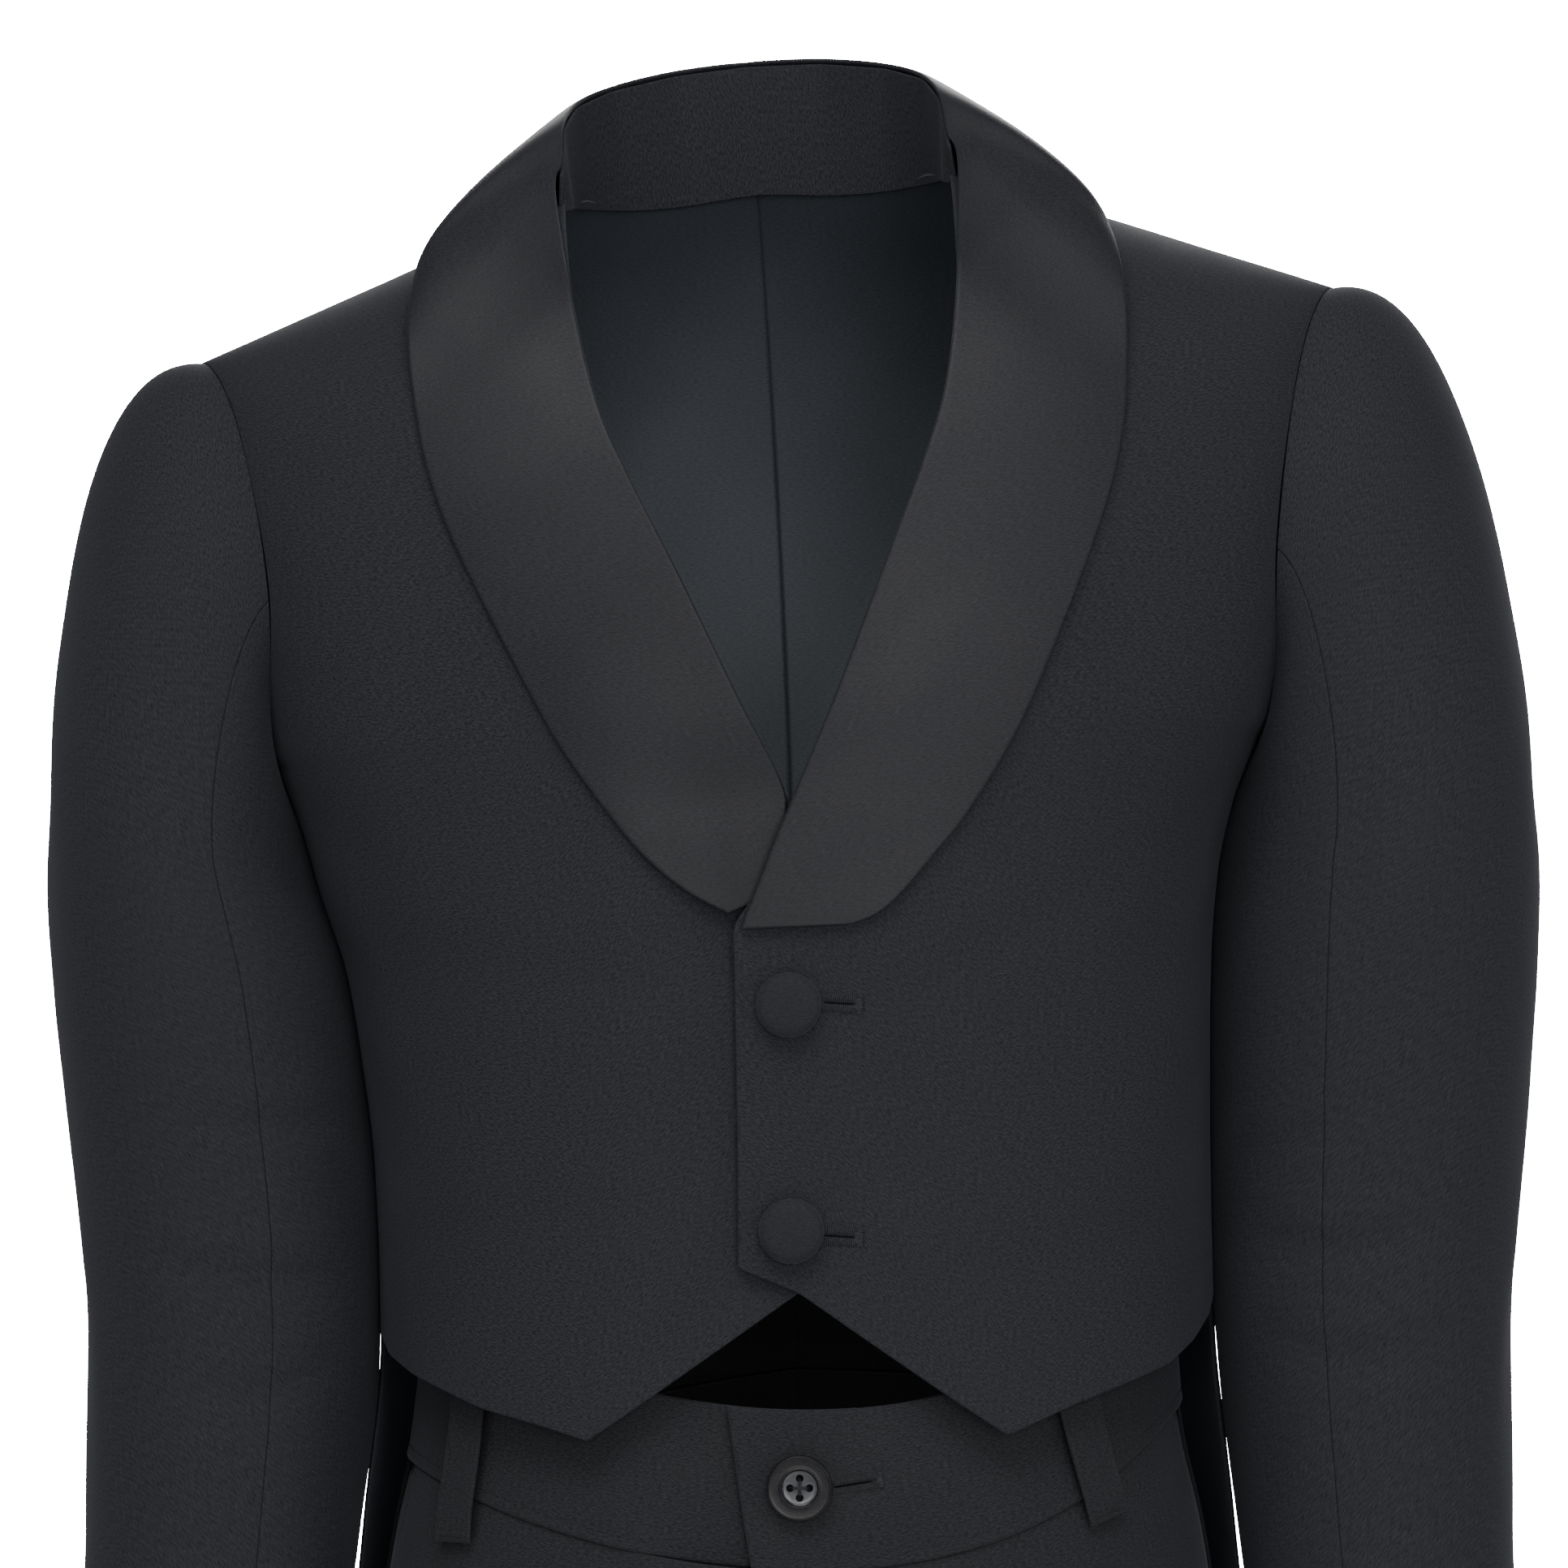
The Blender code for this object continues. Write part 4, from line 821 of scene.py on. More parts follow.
def creased(across, along, creases):
    """Height of the given creases: soft troughs with a low ridge beside each."""
    height = np.zeros_like(across)
    t = np.linspace(0.0, 1.0, CREASE_STEPS + 1)
    for crease in creases:
        a = [(1 - t) ** 2 * crease.start[k] + 2 * t * (1 - t) * crease.bend[k]
             + t * t * crease.end[k] for k in (0, 1)]
        best = np.full(across.shape, 1e9)
        gap = np.zeros_like(across)
        place = np.zeros_like(across)
        for i in range(CREASE_STEPS):
            run = (a[0][i + 1] - a[0][i], a[1][i + 1] - a[1][i])
            size = max(run[0] ** 2 + run[1] ** 2, 1e-9)
            off_a, off_b = across - a[0][i], along - a[1][i]
            share = np.clip((off_a * run[0] + off_b * run[1]) / size, 0.0, 1.0)
            away_a, away_b = off_a - share * run[0], off_b - share * run[1]
            reach = away_a ** 2 + away_b ** 2
            nearer = reach < best
            best = np.where(nearer, reach, best)
            sign = np.sign(run[0] * away_b - run[1] * away_a)
            gap = np.where(nearer, sign * np.sqrt(reach), gap)
            place = np.where(nearer, (i + share) / CREASE_STEPS, place)
        fade = np.sin(np.pi * np.clip(0.06 + 0.88 * place, 0.0, 1.0)) ** 0.8
        trough = -np.exp(-(gap / crease.width) ** 2)
        past = (gap - RIDGE_AWAY * crease.width) / (RIDGE_SPREAD * crease.width)
        height += crease.depth * fade * (trough + RIDGE_HEIGHT * np.exp(-past ** 2))
    return height


def object_from(name, mesh, materials):
    piece = bpy.data.objects.new(name, mesh)
    bpy.context.scene.collection.objects.link(piece)
    for material in materials:
        mesh.materials.append(material)
    mesh.polygons.foreach_set("use_smooth", [True] * len(mesh.polygons))
    return piece


Shell = namedtuple("Shell", "piece outer normal first last foot head across along")

# Points this near the centre plane are put on it, so that centre seams close
ON_CENTRE = 0.03


def make_shell(name, point, us, vs, thickness, facing, materials, relief=None, roll=0.45,
               rolled=(1.0, 1.0, 1.0, 1.0), inner_material=None, reshape=None):
    """A closed thin shell of cloth whose outer face follows point(u, v).

    facing is 1 where u crossed with v points out, else -1. rolled scales the turn of the
    cloth at the first u, last u, first v and last v. relief(grid, across, along) gives the
    height of folds and reshape(grid) moves the face first. The inside takes the second
    material, or inner_material by face.
    """
    flat = grid_of(point, us, vs)
    if reshape:
        flat = reshape(flat)
    normal = outward_of(flat, facing)
    first, last, foot, head = runs_of(flat)
    across = first - first[len(us) // 2].mean()
    height = relief(flat, first, foot) if relief else np.zeros(first.shape)
    edge = np.zeros(first.shape)
    for distance, share in zip((first, last, foot, head), rolled):
        if share > 0.0:
            edge = np.maximum(edge, turned(distance, roll * share))
    outer = flat + normal * (height - edge)[..., None]
    inner_edge = np.minimum(edge, thickness * INNER_TURN)
    inner = flat + normal * (height - thickness + inner_edge)[..., None]
    centred = np.abs(flat[..., 0]) < ON_CENTRE
    outer[centred, 0] = 0.0
    inner[centred, 0] = 0.0
    nu, nv = len(us), len(vs)
    index = np.arange(nu * nv).reshape(nu, nv)
    quads = np.stack([index[:-1, :-1], index[1:, :-1], index[1:, 1:], index[:-1, 1:]], axis=-1)
    quads = quads.reshape(-1, 4)
    if facing < 0:
        quads = quads[:, ::-1]
    rim = np.concatenate([index[:-1, 0], index[-1, :-1], index[:0:-1, -1], index[0, :0:-1]])
    after = np.roll(rim, -1)
    sides = np.stack([rim, rim + nu * nv, after + nu * nv, after], axis=-1)
    if facing < 0:
        sides = sides[:, ::-1]
    faces = np.concatenate([quads, quads[:, ::-1] + nu * nv, sides])
    points = np.concatenate([outer.reshape(-1, 3), inner.reshape(-1, 3)]) * MM
    mesh = bpy.data.meshes.new(name)
    mesh.from_pydata(points.tolist(), [], faces.tolist())
    inside = np.zeros(len(faces), int)
    inside[len(quads):2 * len(quads)] = 1
    if inner_material is not None:
        middle = flat.reshape(-1, 3)[quads].mean(axis=1)
        far = first.reshape(-1)[quads].mean(axis=1)
        inside[len(quads):2 * len(quads)] = inner_material(middle, far)
    uv = mesh.uv_layers.new(name="cloth")
    place = np.stack([across.reshape(-1), foot.reshape(-1)], axis=-1)
    place = np.concatenate([place, place])
    loops = np.empty(len(mesh.loops), int)
    mesh.loops.foreach_get("vertex_index", loops)
    uv.data.foreach_set("uv", place[loops].ravel())
    piece = object_from(name, mesh, materials)
    mesh.polygons.foreach_set("material_index", inside)
    mesh.validate()
    size = flat_size(flat, first, foot)
    return Shell(piece, outer, normal, first, last, foot, head, us, vs), size


def flat_size(grid, first, foot):
    """Width, length and area of the cut, in metres, measured along the cloth."""
    width = float(first[-1].max()) * MM
    length = float(foot[:, -1].max()) * MM
    one = np.cross(grid[1:, :-1] - grid[:-1, :-1], grid[1:, 1:] - grid[:-1, :-1])
    two = np.cross(grid[1:, 1:] - grid[:-1, :-1], grid[:-1, 1:] - grid[:-1, :-1])
    area = float(np.linalg.norm(one, axis=2).sum() + np.linalg.norm(two, axis=2).sum()) / 2.0
    return width, length, min(area * MM * MM, width * length)


def on_shell(shell, u, v, out=0.0):
    """A point of a finished shell's outer face, and its outward direction, in millimetres."""
    us, vs = shell.across, shell.along
    i = min(len(us) - 2, max(0, int(np.searchsorted(us, u)) - 1))
    j = min(len(vs) - 2, max(0, int(np.searchsorted(vs, v)) - 1))
    s = min(1.0, max(0.0, (u - us[i]) / (us[i + 1] - us[i])))
    t = min(1.0, max(0.0, (v - vs[j]) / (vs[j + 1] - vs[j])))

    def between(field):
        low = field[i, j] * (1 - s) + field[i + 1, j] * s
        high = field[i, j + 1] * (1 - s) + field[i + 1, j + 1] * s
        return low * (1 - t) + high * t
    normal = between(shell.normal)
    return between(shell.outer) + normal * out, normal / np.linalg.norm(normal)


# Finishes

class Nodes:
    """A node tree with short ways to add nodes and join them."""

    def __init__(self, tree):
        self.tree = tree

    def put(self, socket, value):
        if isinstance(value, bpy.types.NodeSocket):
            self.tree.links.new(value, socket)
        else:
            socket.default_value = value

    def fill(self, node, values):
        for key, value in values.items():
            self.put(node.inputs[key], value)

    def add(self, kind, settings=None, inputs=None):
        node = self.tree.nodes.new(kind)
        for key, value in (settings or {}).items():
            setattr(node, key, value)
        self.fill(node, inputs or {})
        return node

    def sum_of(self, operation, *values):
        inputs = {i: value for i, value in enumerate(values)}
        return self.add("ShaderNodeMath", {"operation": operation}, inputs).outputs[0]

    def spread(self, value, low, high, out_low, out_high):
        inputs = {"Value": value, "From Min": low, "From Max": high,
                  "To Min": out_low, "To Max": out_high}
        return self.add("ShaderNodeMapRange", None, inputs).outputs["Result"]

    def blend(self, factor, dark, light):
        node = self.add("ShaderNodeMix", {"data_type": "RGBA"}, {"Factor": factor})
        node.inputs[6].default_value = (*dark, 1.0)
        node.inputs[7].default_value = (*light, 1.0)
        return node.outputs[2]

    def noise(self, place, scale, detail, stretch=(1.0, 1.0, 1.0)):
        turned_place = self.add("ShaderNodeMapping", None, {"Vector": place, "Scale": stretch})
        return self.add("ShaderNodeTexNoise", None,
                        {"Vector": turned_place.outputs[0], "Scale": scale,
                         "Detail": detail}).outputs["Fac"]


def woven_group():
    """Cloth: a twill or plain weave of uneven yarns, with a soft cast over larger patches."""
    tree = bpy.data.node_groups.new("woven cloth", "ShaderNodeTree")
    made = tree.interface.new_socket
    made(name="Place", in_out="INPUT", socket_type="NodeSocketVector")
    for name, start in (("Pitch", 0.5), ("Twill", 1.0), ("Slub", 0.5)):
        made(name=name, in_out="INPUT", socket_type="NodeSocketFloat").default_value = start
    for name in ("Height", "Tone", "Patch"):
        made(name=name, in_out="OUTPUT", socket_type="NodeSocketFloat")
    n = Nodes(tree)
    given = n.add("NodeGroupInput").outputs
    place = given["Place"]
    wander = n.noise(place, 0.35, 1.0)
    axes = n.add("ShaderNodeSeparateXYZ", None, {"Vector": place}).outputs
    bent = n.sum_of("MULTIPLY_ADD", wander, 0.5, axes["X"])
    x = n.sum_of("DIVIDE", bent, given["Pitch"])
    y = n.sum_of("DIVIDE", axes["Y"], given["Pitch"])
    line = n.sum_of("SINE", n.sum_of("MULTIPLY", n.sum_of("ADD", x, y), math.tau / 2.0))
    line = n.spread(line, -1.0, 1.0, 0.0, 1.0)
    warp = n.sum_of("ABSOLUTE", n.sum_of("SINE", n.sum_of("MULTIPLY", x, math.pi)))
    weft = n.sum_of("ABSOLUTE", n.sum_of("SINE", n.sum_of("MULTIPLY", y, math.pi)))
    plain = n.sum_of("MULTIPLY", warp, weft)
    weave = n.add("ShaderNodeMix", {"data_type": "FLOAT"},
                  {"Factor": given["Twill"], "A": plain, "B": line}).outputs["Result"]
    yarn = n.sum_of("MULTIPLY", n.noise(place, 1.7, 3.0, (0.5, 1.6, 1.0)), 0.6)
    yarn = n.sum_of("MULTIPLY_ADD", n.noise(place, 3.1, 2.0, (1.5, 0.6, 1.0)), 0.4, yarn)
    height = n.add("ShaderNodeMix", {"data_type": "FLOAT"},
                   {"Factor": given["Slub"], "A": weave, "B": yarn}).outputs["Result"]
    patch = n.noise(place, 0.035, 3.0)
    tone = n.sum_of("MULTIPLY_ADD", n.sum_of("SUBTRACT", yarn, 0.5), 4.2, 0.5)
    tone = n.sum_of("MULTIPLY_ADD", n.sum_of("SUBTRACT", weave, 0.5), 0.3, tone)
    tone = n.sum_of("MULTIPLY_ADD", n.sum_of("SUBTRACT", patch, 0.5), 0.35, tone)
    result = n.add("NodeGroupOutput")
    n.fill(result, {"Height": height, "Tone": tone, "Patch": patch})
    return tree


def new_material(name):
    material = bpy.data.materials.new(name)
    material.use_nodes = True
    material.node_tree.nodes.clear()
    n = Nodes(material.node_tree)
    shader = n.add("ShaderNodeBsdfPrincipled")
    n.add("ShaderNodeOutputMaterial", None, {"Surface": shader.outputs[0]})
    return material, n, shader


WOVEN = woven_group()


def cloth_finish(name, dark, light, pitch=0.5, twill=0.6, slub=0.5, bump=0.05,
                 roughness=(0.8, 0.92), sheen=0.05, sheen_roughness=0.45, specular=0.3, place="UV"):
    """A woven finish; dark and light are the colours of its hollows and its raised yarns."""
    material, n, shader = new_material(name)
    coordinates = n.add("ShaderNodeTexCoord").outputs
    where = coordinates["UV"]
    if place == "Object":
        where = n.add("ShaderNodeMapping", None, {
            "Vector": coordinates["Object"], "Scale": (1000.0, 1000.0, 1000.0),
            "Rotation": (math.radians(-90.0), 0.0, 0.0)}).outputs[0]
    weave = n.add("ShaderNodeGroup", {"node_tree": WOVEN},
                  {"Place": where, "Pitch": pitch, "Twill": twill, "Slub": slub}).outputs
    relief = n.add("ShaderNodeBump", None, {"Strength": 0.9, "Distance": bump * MM,
                                            "Height": weave["Height"]})
    n.fill(shader, {
        "Base Color": n.blend(weave["Tone"], dark, light),
        "Roughness": n.spread(weave["Patch"], 0.3, 0.7, *roughness),
        "Normal": relief.outputs["Normal"], "Specular IOR Level": specular,
        "Sheen Weight": sheen, "Sheen Roughness": sheen_roughness,
        "Sheen Tint": (0.75, 0.8, 0.95, 1.0)})
    return material


def horn_finish(name, dark, light, roughness, specular=0.5):
    """Polished horn: cloudy streaks under a clear gloss, dulled by fine scratches."""
    material, n, shader = new_material(name)
    where = n.add("ShaderNodeTexCoord").outputs["Object"]
    cloud = n.noise(where, 160.0, 4.0, (1.0, 1.0, 3.0))
    scratch = n.noise(where, 900.0, 5.0, (1.0, 1.0, 6.0))
    relief = n.add("ShaderNodeBump", None,
                   {"Strength": 0.15, "Distance": 0.01 * MM, "Height": scratch})
    n.fill(shader, {
        "Base Color": n.blend(n.spread(cloud, 0.35, 0.7, 0.0, 1.0), dark, light),
        "Roughness": n.spread(scratch, 0.3, 0.7, roughness, roughness + 0.12),
        "Normal": relief.outputs["Normal"], "Specular IOR Level": specular})
    return material


def pale_finish(name, colour, near_glow, far_glow):
    """Studio floor: pale round the suit, running out into plain white."""
    material, n, shader = new_material(name)
    where = n.add("ShaderNodeTexCoord").outputs["Object"]
    flat = n.add("ShaderNodeVectorMath", {"operation": "MULTIPLY"}, {0: where, 1: (1.0, 1.0, 0.0)})
    away = n.add("ShaderNodeVectorMath", {"operation": "LENGTH"}, {0: flat.outputs[0]})
    glow = n.spread(away.outputs["Value"], 0.8, 4.5, near_glow, far_glow)
    seen = n.add("ShaderNodeLightPath").outputs["Is Camera Ray"]
    n.fill(shader, {
        "Base Color": n.blend(n.noise(where, 1.5, 2.0), [0.98 * c for c in colour], colour),
        "Emission Strength": n.sum_of("MULTIPLY", glow, seen),
        "Emission Color": (1.0, 1.0, 1.0, 1.0), "Roughness": 0.9})
    return material


coat_cloth = cloth_finish("coat cloth", (0.0028, 0.0030, 0.0046), (0.0222, 0.0232, 0.0290),
                          pitch=0.55, twill=0.4, slub=0.65, bump=0.11, sheen=0.03)
satin = cloth_finish("satin", (0.0035, 0.0037, 0.0054), (0.0165, 0.0170, 0.0215), pitch=0.42,
                     twill=0.25, slub=0.6, bump=0.05, roughness=(0.46, 0.58), sheen=0.03,
                     sheen_roughness=0.35, specular=0.27)
lining = cloth_finish("lining", (0.032, 0.038, 0.046), (0.058, 0.067, 0.079), pitch=0.3, twill=0.2,
                      slub=0.3, bump=0.015, roughness=(0.42, 0.5), sheen=0.05, specular=0.45)
trouser_cloth = cloth_finish("trouser cloth", (0.0024, 0.0026, 0.0038), (0.0185, 0.0192, 0.0232),
                             pitch=0.45, twill=0.3, slub=0.65, bump=0.08)
band_lining = cloth_finish("band lining", (0.008, 0.0085, 0.010), (0.015, 0.016, 0.018), pitch=0.4,
                           twill=0.0, slub=0.4, bump=0.03)
button_cloth = cloth_finish("button cloth", (0.0070, 0.0073, 0.0092), (0.0165, 0.0172, 0.0212),
                            pitch=0.35, twill=0.4, slub=0.4, bump=0.025)
thread = cloth_finish("sewing thread", (0.005, 0.0053, 0.0070), (0.019, 0.0198, 0.0240), pitch=0.25,
                      twill=1.0, slub=0.2, bump=0.02, roughness=(0.55, 0.7), place="Object")
# Painted shade: a near-black finish for the strand laid in each buttonhole's slit, where the gap
# between the lips lies in shadow.
slit_shade = cloth_finish("buttonhole slit shade", (0.001, 0.001, 0.0013), (0.002, 0.002, 0.0025),
                         bump=0.01, sheen=0.0, specular=0.1, place="Object")
horn = horn_finish("horn", (0.005, 0.005, 0.0065), (0.010, 0.010, 0.011), 0.22, 0.22)
horn_dish = horn_finish("polished horn", (0.035, 0.036, 0.042), (0.07, 0.07, 0.078), 0.14)


# Coat

COAT_CLOTH = 1.15
SATIN_CLOTH = 1.1
STAND_CLOTH = 0.9
STAND_TURN_UNDER = 0.22
FACING_WIDTH = 52.0
FACING_Z = -301.0

FRONT_CREASES = {
    "left": (
        Crease((14, -206), (44, -196), (84, -168), 5.5, 0.42),
        Crease((26, -268), (58, -272), (96, -256), 6.0, 0.38),
        Crease((100, -150), (90, -178), (86, -212), 5.5, 0.55),
        Crease((72, -92), (82, -122), (80, -158), 8.5, 0.50),
        Crease((12, -262), (34, -276), (56, -297), 4.5, 0.30),
        Crease((58, -205), (74, -232), (78, -262), 9.0, 0.35),
        Crease((118, -66), (122, -86), (114, -112), 6.0, 0.45),
    ),
    "right": (
        Crease((2, -200), (40, -206), (92, -190), 6.0, 0.36),
        Crease((18, -258), (60, -252), (98, -262), 5.5, 0.42),
        Crease((112, -150), (104, -182), (92, -220), 6.0, 0.60),
        Crease((84, -96), (96, -124), (96, -150), 8.0, 0.48),
        Crease((6, -268), (30, -282), (50, -304), 5.0, 0.34),
        Crease((60, -214), (70, -240), (66, -276), 9.5, 0.32),
        Crease((126, -74), (132, -96), (126, -122), 6.0, 0.42),
    ),
}
BACK_CREASES = {
    "left": (
        Crease((28, -62), (48, -104), (46, -156), 8.5, 0.75),
        Crease((96, -120), (88, -152), (84, -196), 7.0, 0.80),
        Crease((8, -252), (46, -264), (88, -256), 6.0, 0.85),
        Crease((24, -280), (58, -288), (92, -276), 5.5, 0.65),
        Crease((30, -318), (36, -420), (28, -560), 10.0, 1.10),
        Crease((72, -304), (80, -392), (62, -500), 11.0, 0.95),
    ),
    "right": (
        Crease((34, -70), (54, -112), (50, -168), 9.0, 0.70),
        Crease((104, -126), (98, -160), (90, -206), 7.5, 0.75),
        Crease((6, -246), (40, -256), (84, -246), 6.5, 0.75),
        Crease((18, -276), (50, -290), (90, -284), 5.5, 0.72),
        Crease((36, -326), (30, -436), (34, -548), 10.5, 1.00),
        Crease((78, -300), (70, -404), (58, -486), 11.0, 1.05),
    ),
}
SLEEVE_CREASES = {
    "left": (
        Crease((52, -258), (74, -270), (102, -262), 4.5, 1.00),
        Crease((46, -284), (70, -298), (98, -286), 4.5, 0.85),
        Crease((66, -226), (84, -240), (106, -242), 4.0, 0.70),
        Crease((-24, -214), (4, -262), (18, -318), 8.0, 0.60),
        Crease((70, -150), (78, -176), (72, -204), 5.5, 0.60),
        Crease((-84, -262), (-62, -276), (-38, -270), 5.0, 0.90),
        Crease((30, -360), (52, -380), (84, -376), 6.0, 0.55),
        Crease((-30, -110), (-6, -134), (10, -166), 8.0, 0.50),
    ),
    "right": (
        Crease((48, -266), (72, -276), (104, -272), 4.5, 0.95),
        Crease((54, -296), (78, -306), (100, -292), 4.5, 0.75),
        Crease((60, -232), (82, -238), (108, -232), 4.0, 0.80),
        Crease((-20, -222), (8, -268), (14, -330), 8.0, 0.55),
        Crease((72, -158), (82, -184), (76, -214), 5.5, 0.65),
        Crease((-80, -270), (-60, -286), (-36, -282), 5.0, 0.80),
        Crease((36, -352), (58, -368), (88, -362), 6.0, 0.50),
        Crease((-26, -118), (-2, -140), (14, -172), 8.0, 0.45),
    ),
}
SLEEVE_MM_PER_DEGREE = 0.75
NESTLE_CLEARANCE = -0.4
NESTLE_SLIT = -0.1
NESTLE_SLIT_Z = -272.0
NESTLE_SLIT_REACH = 18.0
NESTLE_END_Z = -345.0
NESTLE_END_REACH = 50.0
NESTLE_START_ABOVE = 3.0
NESTLE_START_REACH = 4.0
NESTLE_STEPS = 120


def ripple(across, along, height, size):
    """The cloth's own slight unevenness, never quite flat."""
    return height * (np.sin(across / size + 1.3 * np.sin(along / (1.7 * size)))
                     * np.sin(along / (1.4 * size) + 0.9 * np.cos(across / (1.2 * size))))


def body_relief(side, creases):
    def relief(grid, first, foot):
        across, along = grid[..., 0] * side, grid[..., 2]
        return creased(across, along, creases) + ripple(across, along, 0.10, 11.0)
    return relief


def add_sheet(shell, size, held, rests_on, slot, *nodes):
    """A cut piece: hides the solids it stands for and hangs the piece on the root."""
    piece = shell.piece
    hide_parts(*nodes)
    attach(piece, "root")
    return shell


def make_fronts():
    bottom_half = coat_half(1.0, HEM_ROW_Z)
    start = angle_at(-LAP, bottom_half)
    marks = [(angle_at(x, bottom_half) - start) / (90.0 - start)
             for x in (CORNER_X, APEX_X, 1.5, 25.0, 49.5, POINT_X, 52.5, 57.0, 75.0, 93.0)]

    def inner_finish(middle, far):
        return np.where((far < FACING_WIDTH) | (middle[:, 2] < FACING_Z), 0, 1)
    shells = {}
    for name, side in SIDES.items():
        us = lines(0.0, 1.0, 66, 150.0, extra=marks)
        vs = lines(-1.0, 1.0, 120, 150.0)
        shell, size = make_shell(
            "front_" + name, lambda u, v, s=side: front_point(s, u, v), us, vs, COAT_CLOTH, side,
            (coat_cloth, lining), body_relief(side, FRONT_CREASES[name]), roll=0.5,
            inner_material=inner_finish)
        shells[name] = add_sheet(shell, size, "draped", ["back_" + name], "coat_cloth",
                                 "coat_front_" + name)
    return shells


def make_backs():
    shells = {}
    tail_span = ARMPIT_Z - TAIL_END_Z
    side_hem = -(ARMPIT_Z - SIDE_HEM_Z) / tail_span
    for name, side in SIDES.items():
        us = lines(0.0, 1.0, 46, 130.0)
        vs = sorted(set(lines(-1.0, 0.0, 150, 457.0, last=False)
                        + lines(0.0, 1.0, 70, 160.0, first=False) + [round(side_hem, 6)]))
        shell, size = make_shell(
            "back_" + name, lambda u, v, s=side: back_point(s, u, v), us, vs, COAT_CLOTH, -side,
            (coat_cloth, lining), body_relief(side, BACK_CREASES[name]), roll=0.5)
        shells[name] = add_sheet(shell, size, "draped", ["front_" + name], "coat_cloth",
                                 "coat_back_" + name)
    return shells


def nestling(side, vs):
    """How far each ring of a sleeve moves in to rest against the coat's side."""
    heights = spaced(ARMPIT_Z, CUFF_Z, NESTLE_STEPS)
    flank = [lean(form_point(side, 90.0, z=z)) for z in heights]
    flank_z = np.array([point.z for point in flank])[::-1]
    flank_x = np.array([side * point.x for point in flank])[::-1]
    inner = [sleeve_point(side, 180.0, v) for v in vs]
    gaps = []
    for point in inner:
        low = ease((NESTLE_SLIT_Z - point.z) / NESTLE_SLIT_REACH)
        clearance = mix(NESTLE_CLEARANCE, NESTLE_SLIT, low)
        gap = side * point.x - float(np.interp(point.z, flank_z, flank_x)) - clearance
        hanging = 1.0 - ease((NESTLE_END_Z - point.z) / NESTLE_END_REACH)
        below_armpit = ease((flank[0].z + NESTLE_START_ABOVE - point.z) / NESTLE_START_REACH)
        gaps.append(max(0.0, gap) * hanging * below_armpit)
    return np.array(gaps)


def make_sleeves():
    shells = {}
    step = 360.0 / RING_STEPS
    spans = {"under": (FRONT_SLEEVE_SEAM * step, BACK_SLEEVE_SEAM * step),
             "top": (BACK_SLEEVE_SEAM * step - 360.0, FRONT_SLEEVE_SEAM * step)}
    for side in (1.0, -1.0):
        for part, (start, end) in spans.items():
            name = part + "_" + side_name(side)
            degrees = lines(start, end, int((end - start) / 2.6), 0.75)

            def relief(grid, first, foot, s=side, angles=degrees):
                turn = (np.array(angles) + 180.0) % 360.0 - 180.0
                across = np.repeat(turn[:, None], grid.shape[1], axis=1) * SLEEVE_MM_PER_DEGREE
                along = grid[..., 2]
                settle = np.clip(foot / 16.0, 0.0, 1.0) ** 2
                return (creased(across, along, SLEEVE_CREASES[side_name(s)])
                        + ripple(across, along, 0.12, 10.0)) * settle
            vs = lines(0.0, 1.0, 44, 60.0, last=False)[:-1]
            vs += lines(1.0, 2.0, 110, 275.0, first=False)
            inward = nestling(side, vs)

            def reshape(grid, s=side, angles=degrees, move=inward):
                share = (0.5 - 0.5 * np.cos(np.radians(np.array(angles)))) ** 3
                grid = grid.copy()
                grid[..., 0] -= s * share[:, None] * move[None, :]
                return grid
            shell, size = make_shell(
                "sleeve_" + name, lambda u, v, s=side: sleeve_point(s, u, v), degrees, vs,
                COAT_CLOTH, side, (coat_cloth, lining), relief, roll=0.45,
                rolled=(1.0, 1.0, 0.6, 1.0), reshape=reshape)
            shells[name] = add_sheet(shell, size, "draped", ["front_" + side_name(side)],
                                     "coat_cloth", "coat_sleeve_" + name)
    return shells


def shawl_relief(grid, first, foot):
    belly = np.sin(np.pi * np.clip(first / np.maximum(first[-1:], 1.0), 0.0, 1.0))
    return ripple(first, foot, 0.14, 13.0) + belly * 0.25


def make_collar():
    shells = {}
    for name, side in SIDES.items():
        count = len(shawl_rows(side)) - 1
        us = lines(0.0, 1.0, 40, 42.0)
        vs = lines(0.0, count, 150, 22.0, first=False)
        shell, size = make_shell(
            "shawl_" + name, lambda u, v, s=side: shawl_point(s, u, v), us, vs, SATIN_CLOTH, -side,
            (satin, coat_cloth), shawl_relief, roll=0.7, rolled=(1.0, 1.0, 0.15, 1.0))
        shells[name] = add_sheet(shell, size, "draped", ["front_" + name], "satin",
                                 "shawl_collar_" + name)
    us = lines(0.0, 1.0, 12, 30.0)
    end = STAND_LAST_ROW + STAND_TURN_UNDER
    vs = lines(-end, end, 110, 16.0)
    shell, size = make_shell("stand", stand_point, us, vs, STAND_CLOTH, -1.0, (coat_cloth, satin),
                             lambda grid, first, foot: ripple(first, foot, 0.08, 8.0), roll=0.3)
    shells["stand"] = add_sheet(shell, size, "draped", ["back_left", "back_right"], "collar_cloth",
                                "collar_stand")
    return shells


# Trousers

LEG_CLOTH = 0.95
BAND_CLOTH = 1.9
LOOP_CLOTH = 0.95
POCKET_CLOTH = 0.8
LEG_MM = 110.0

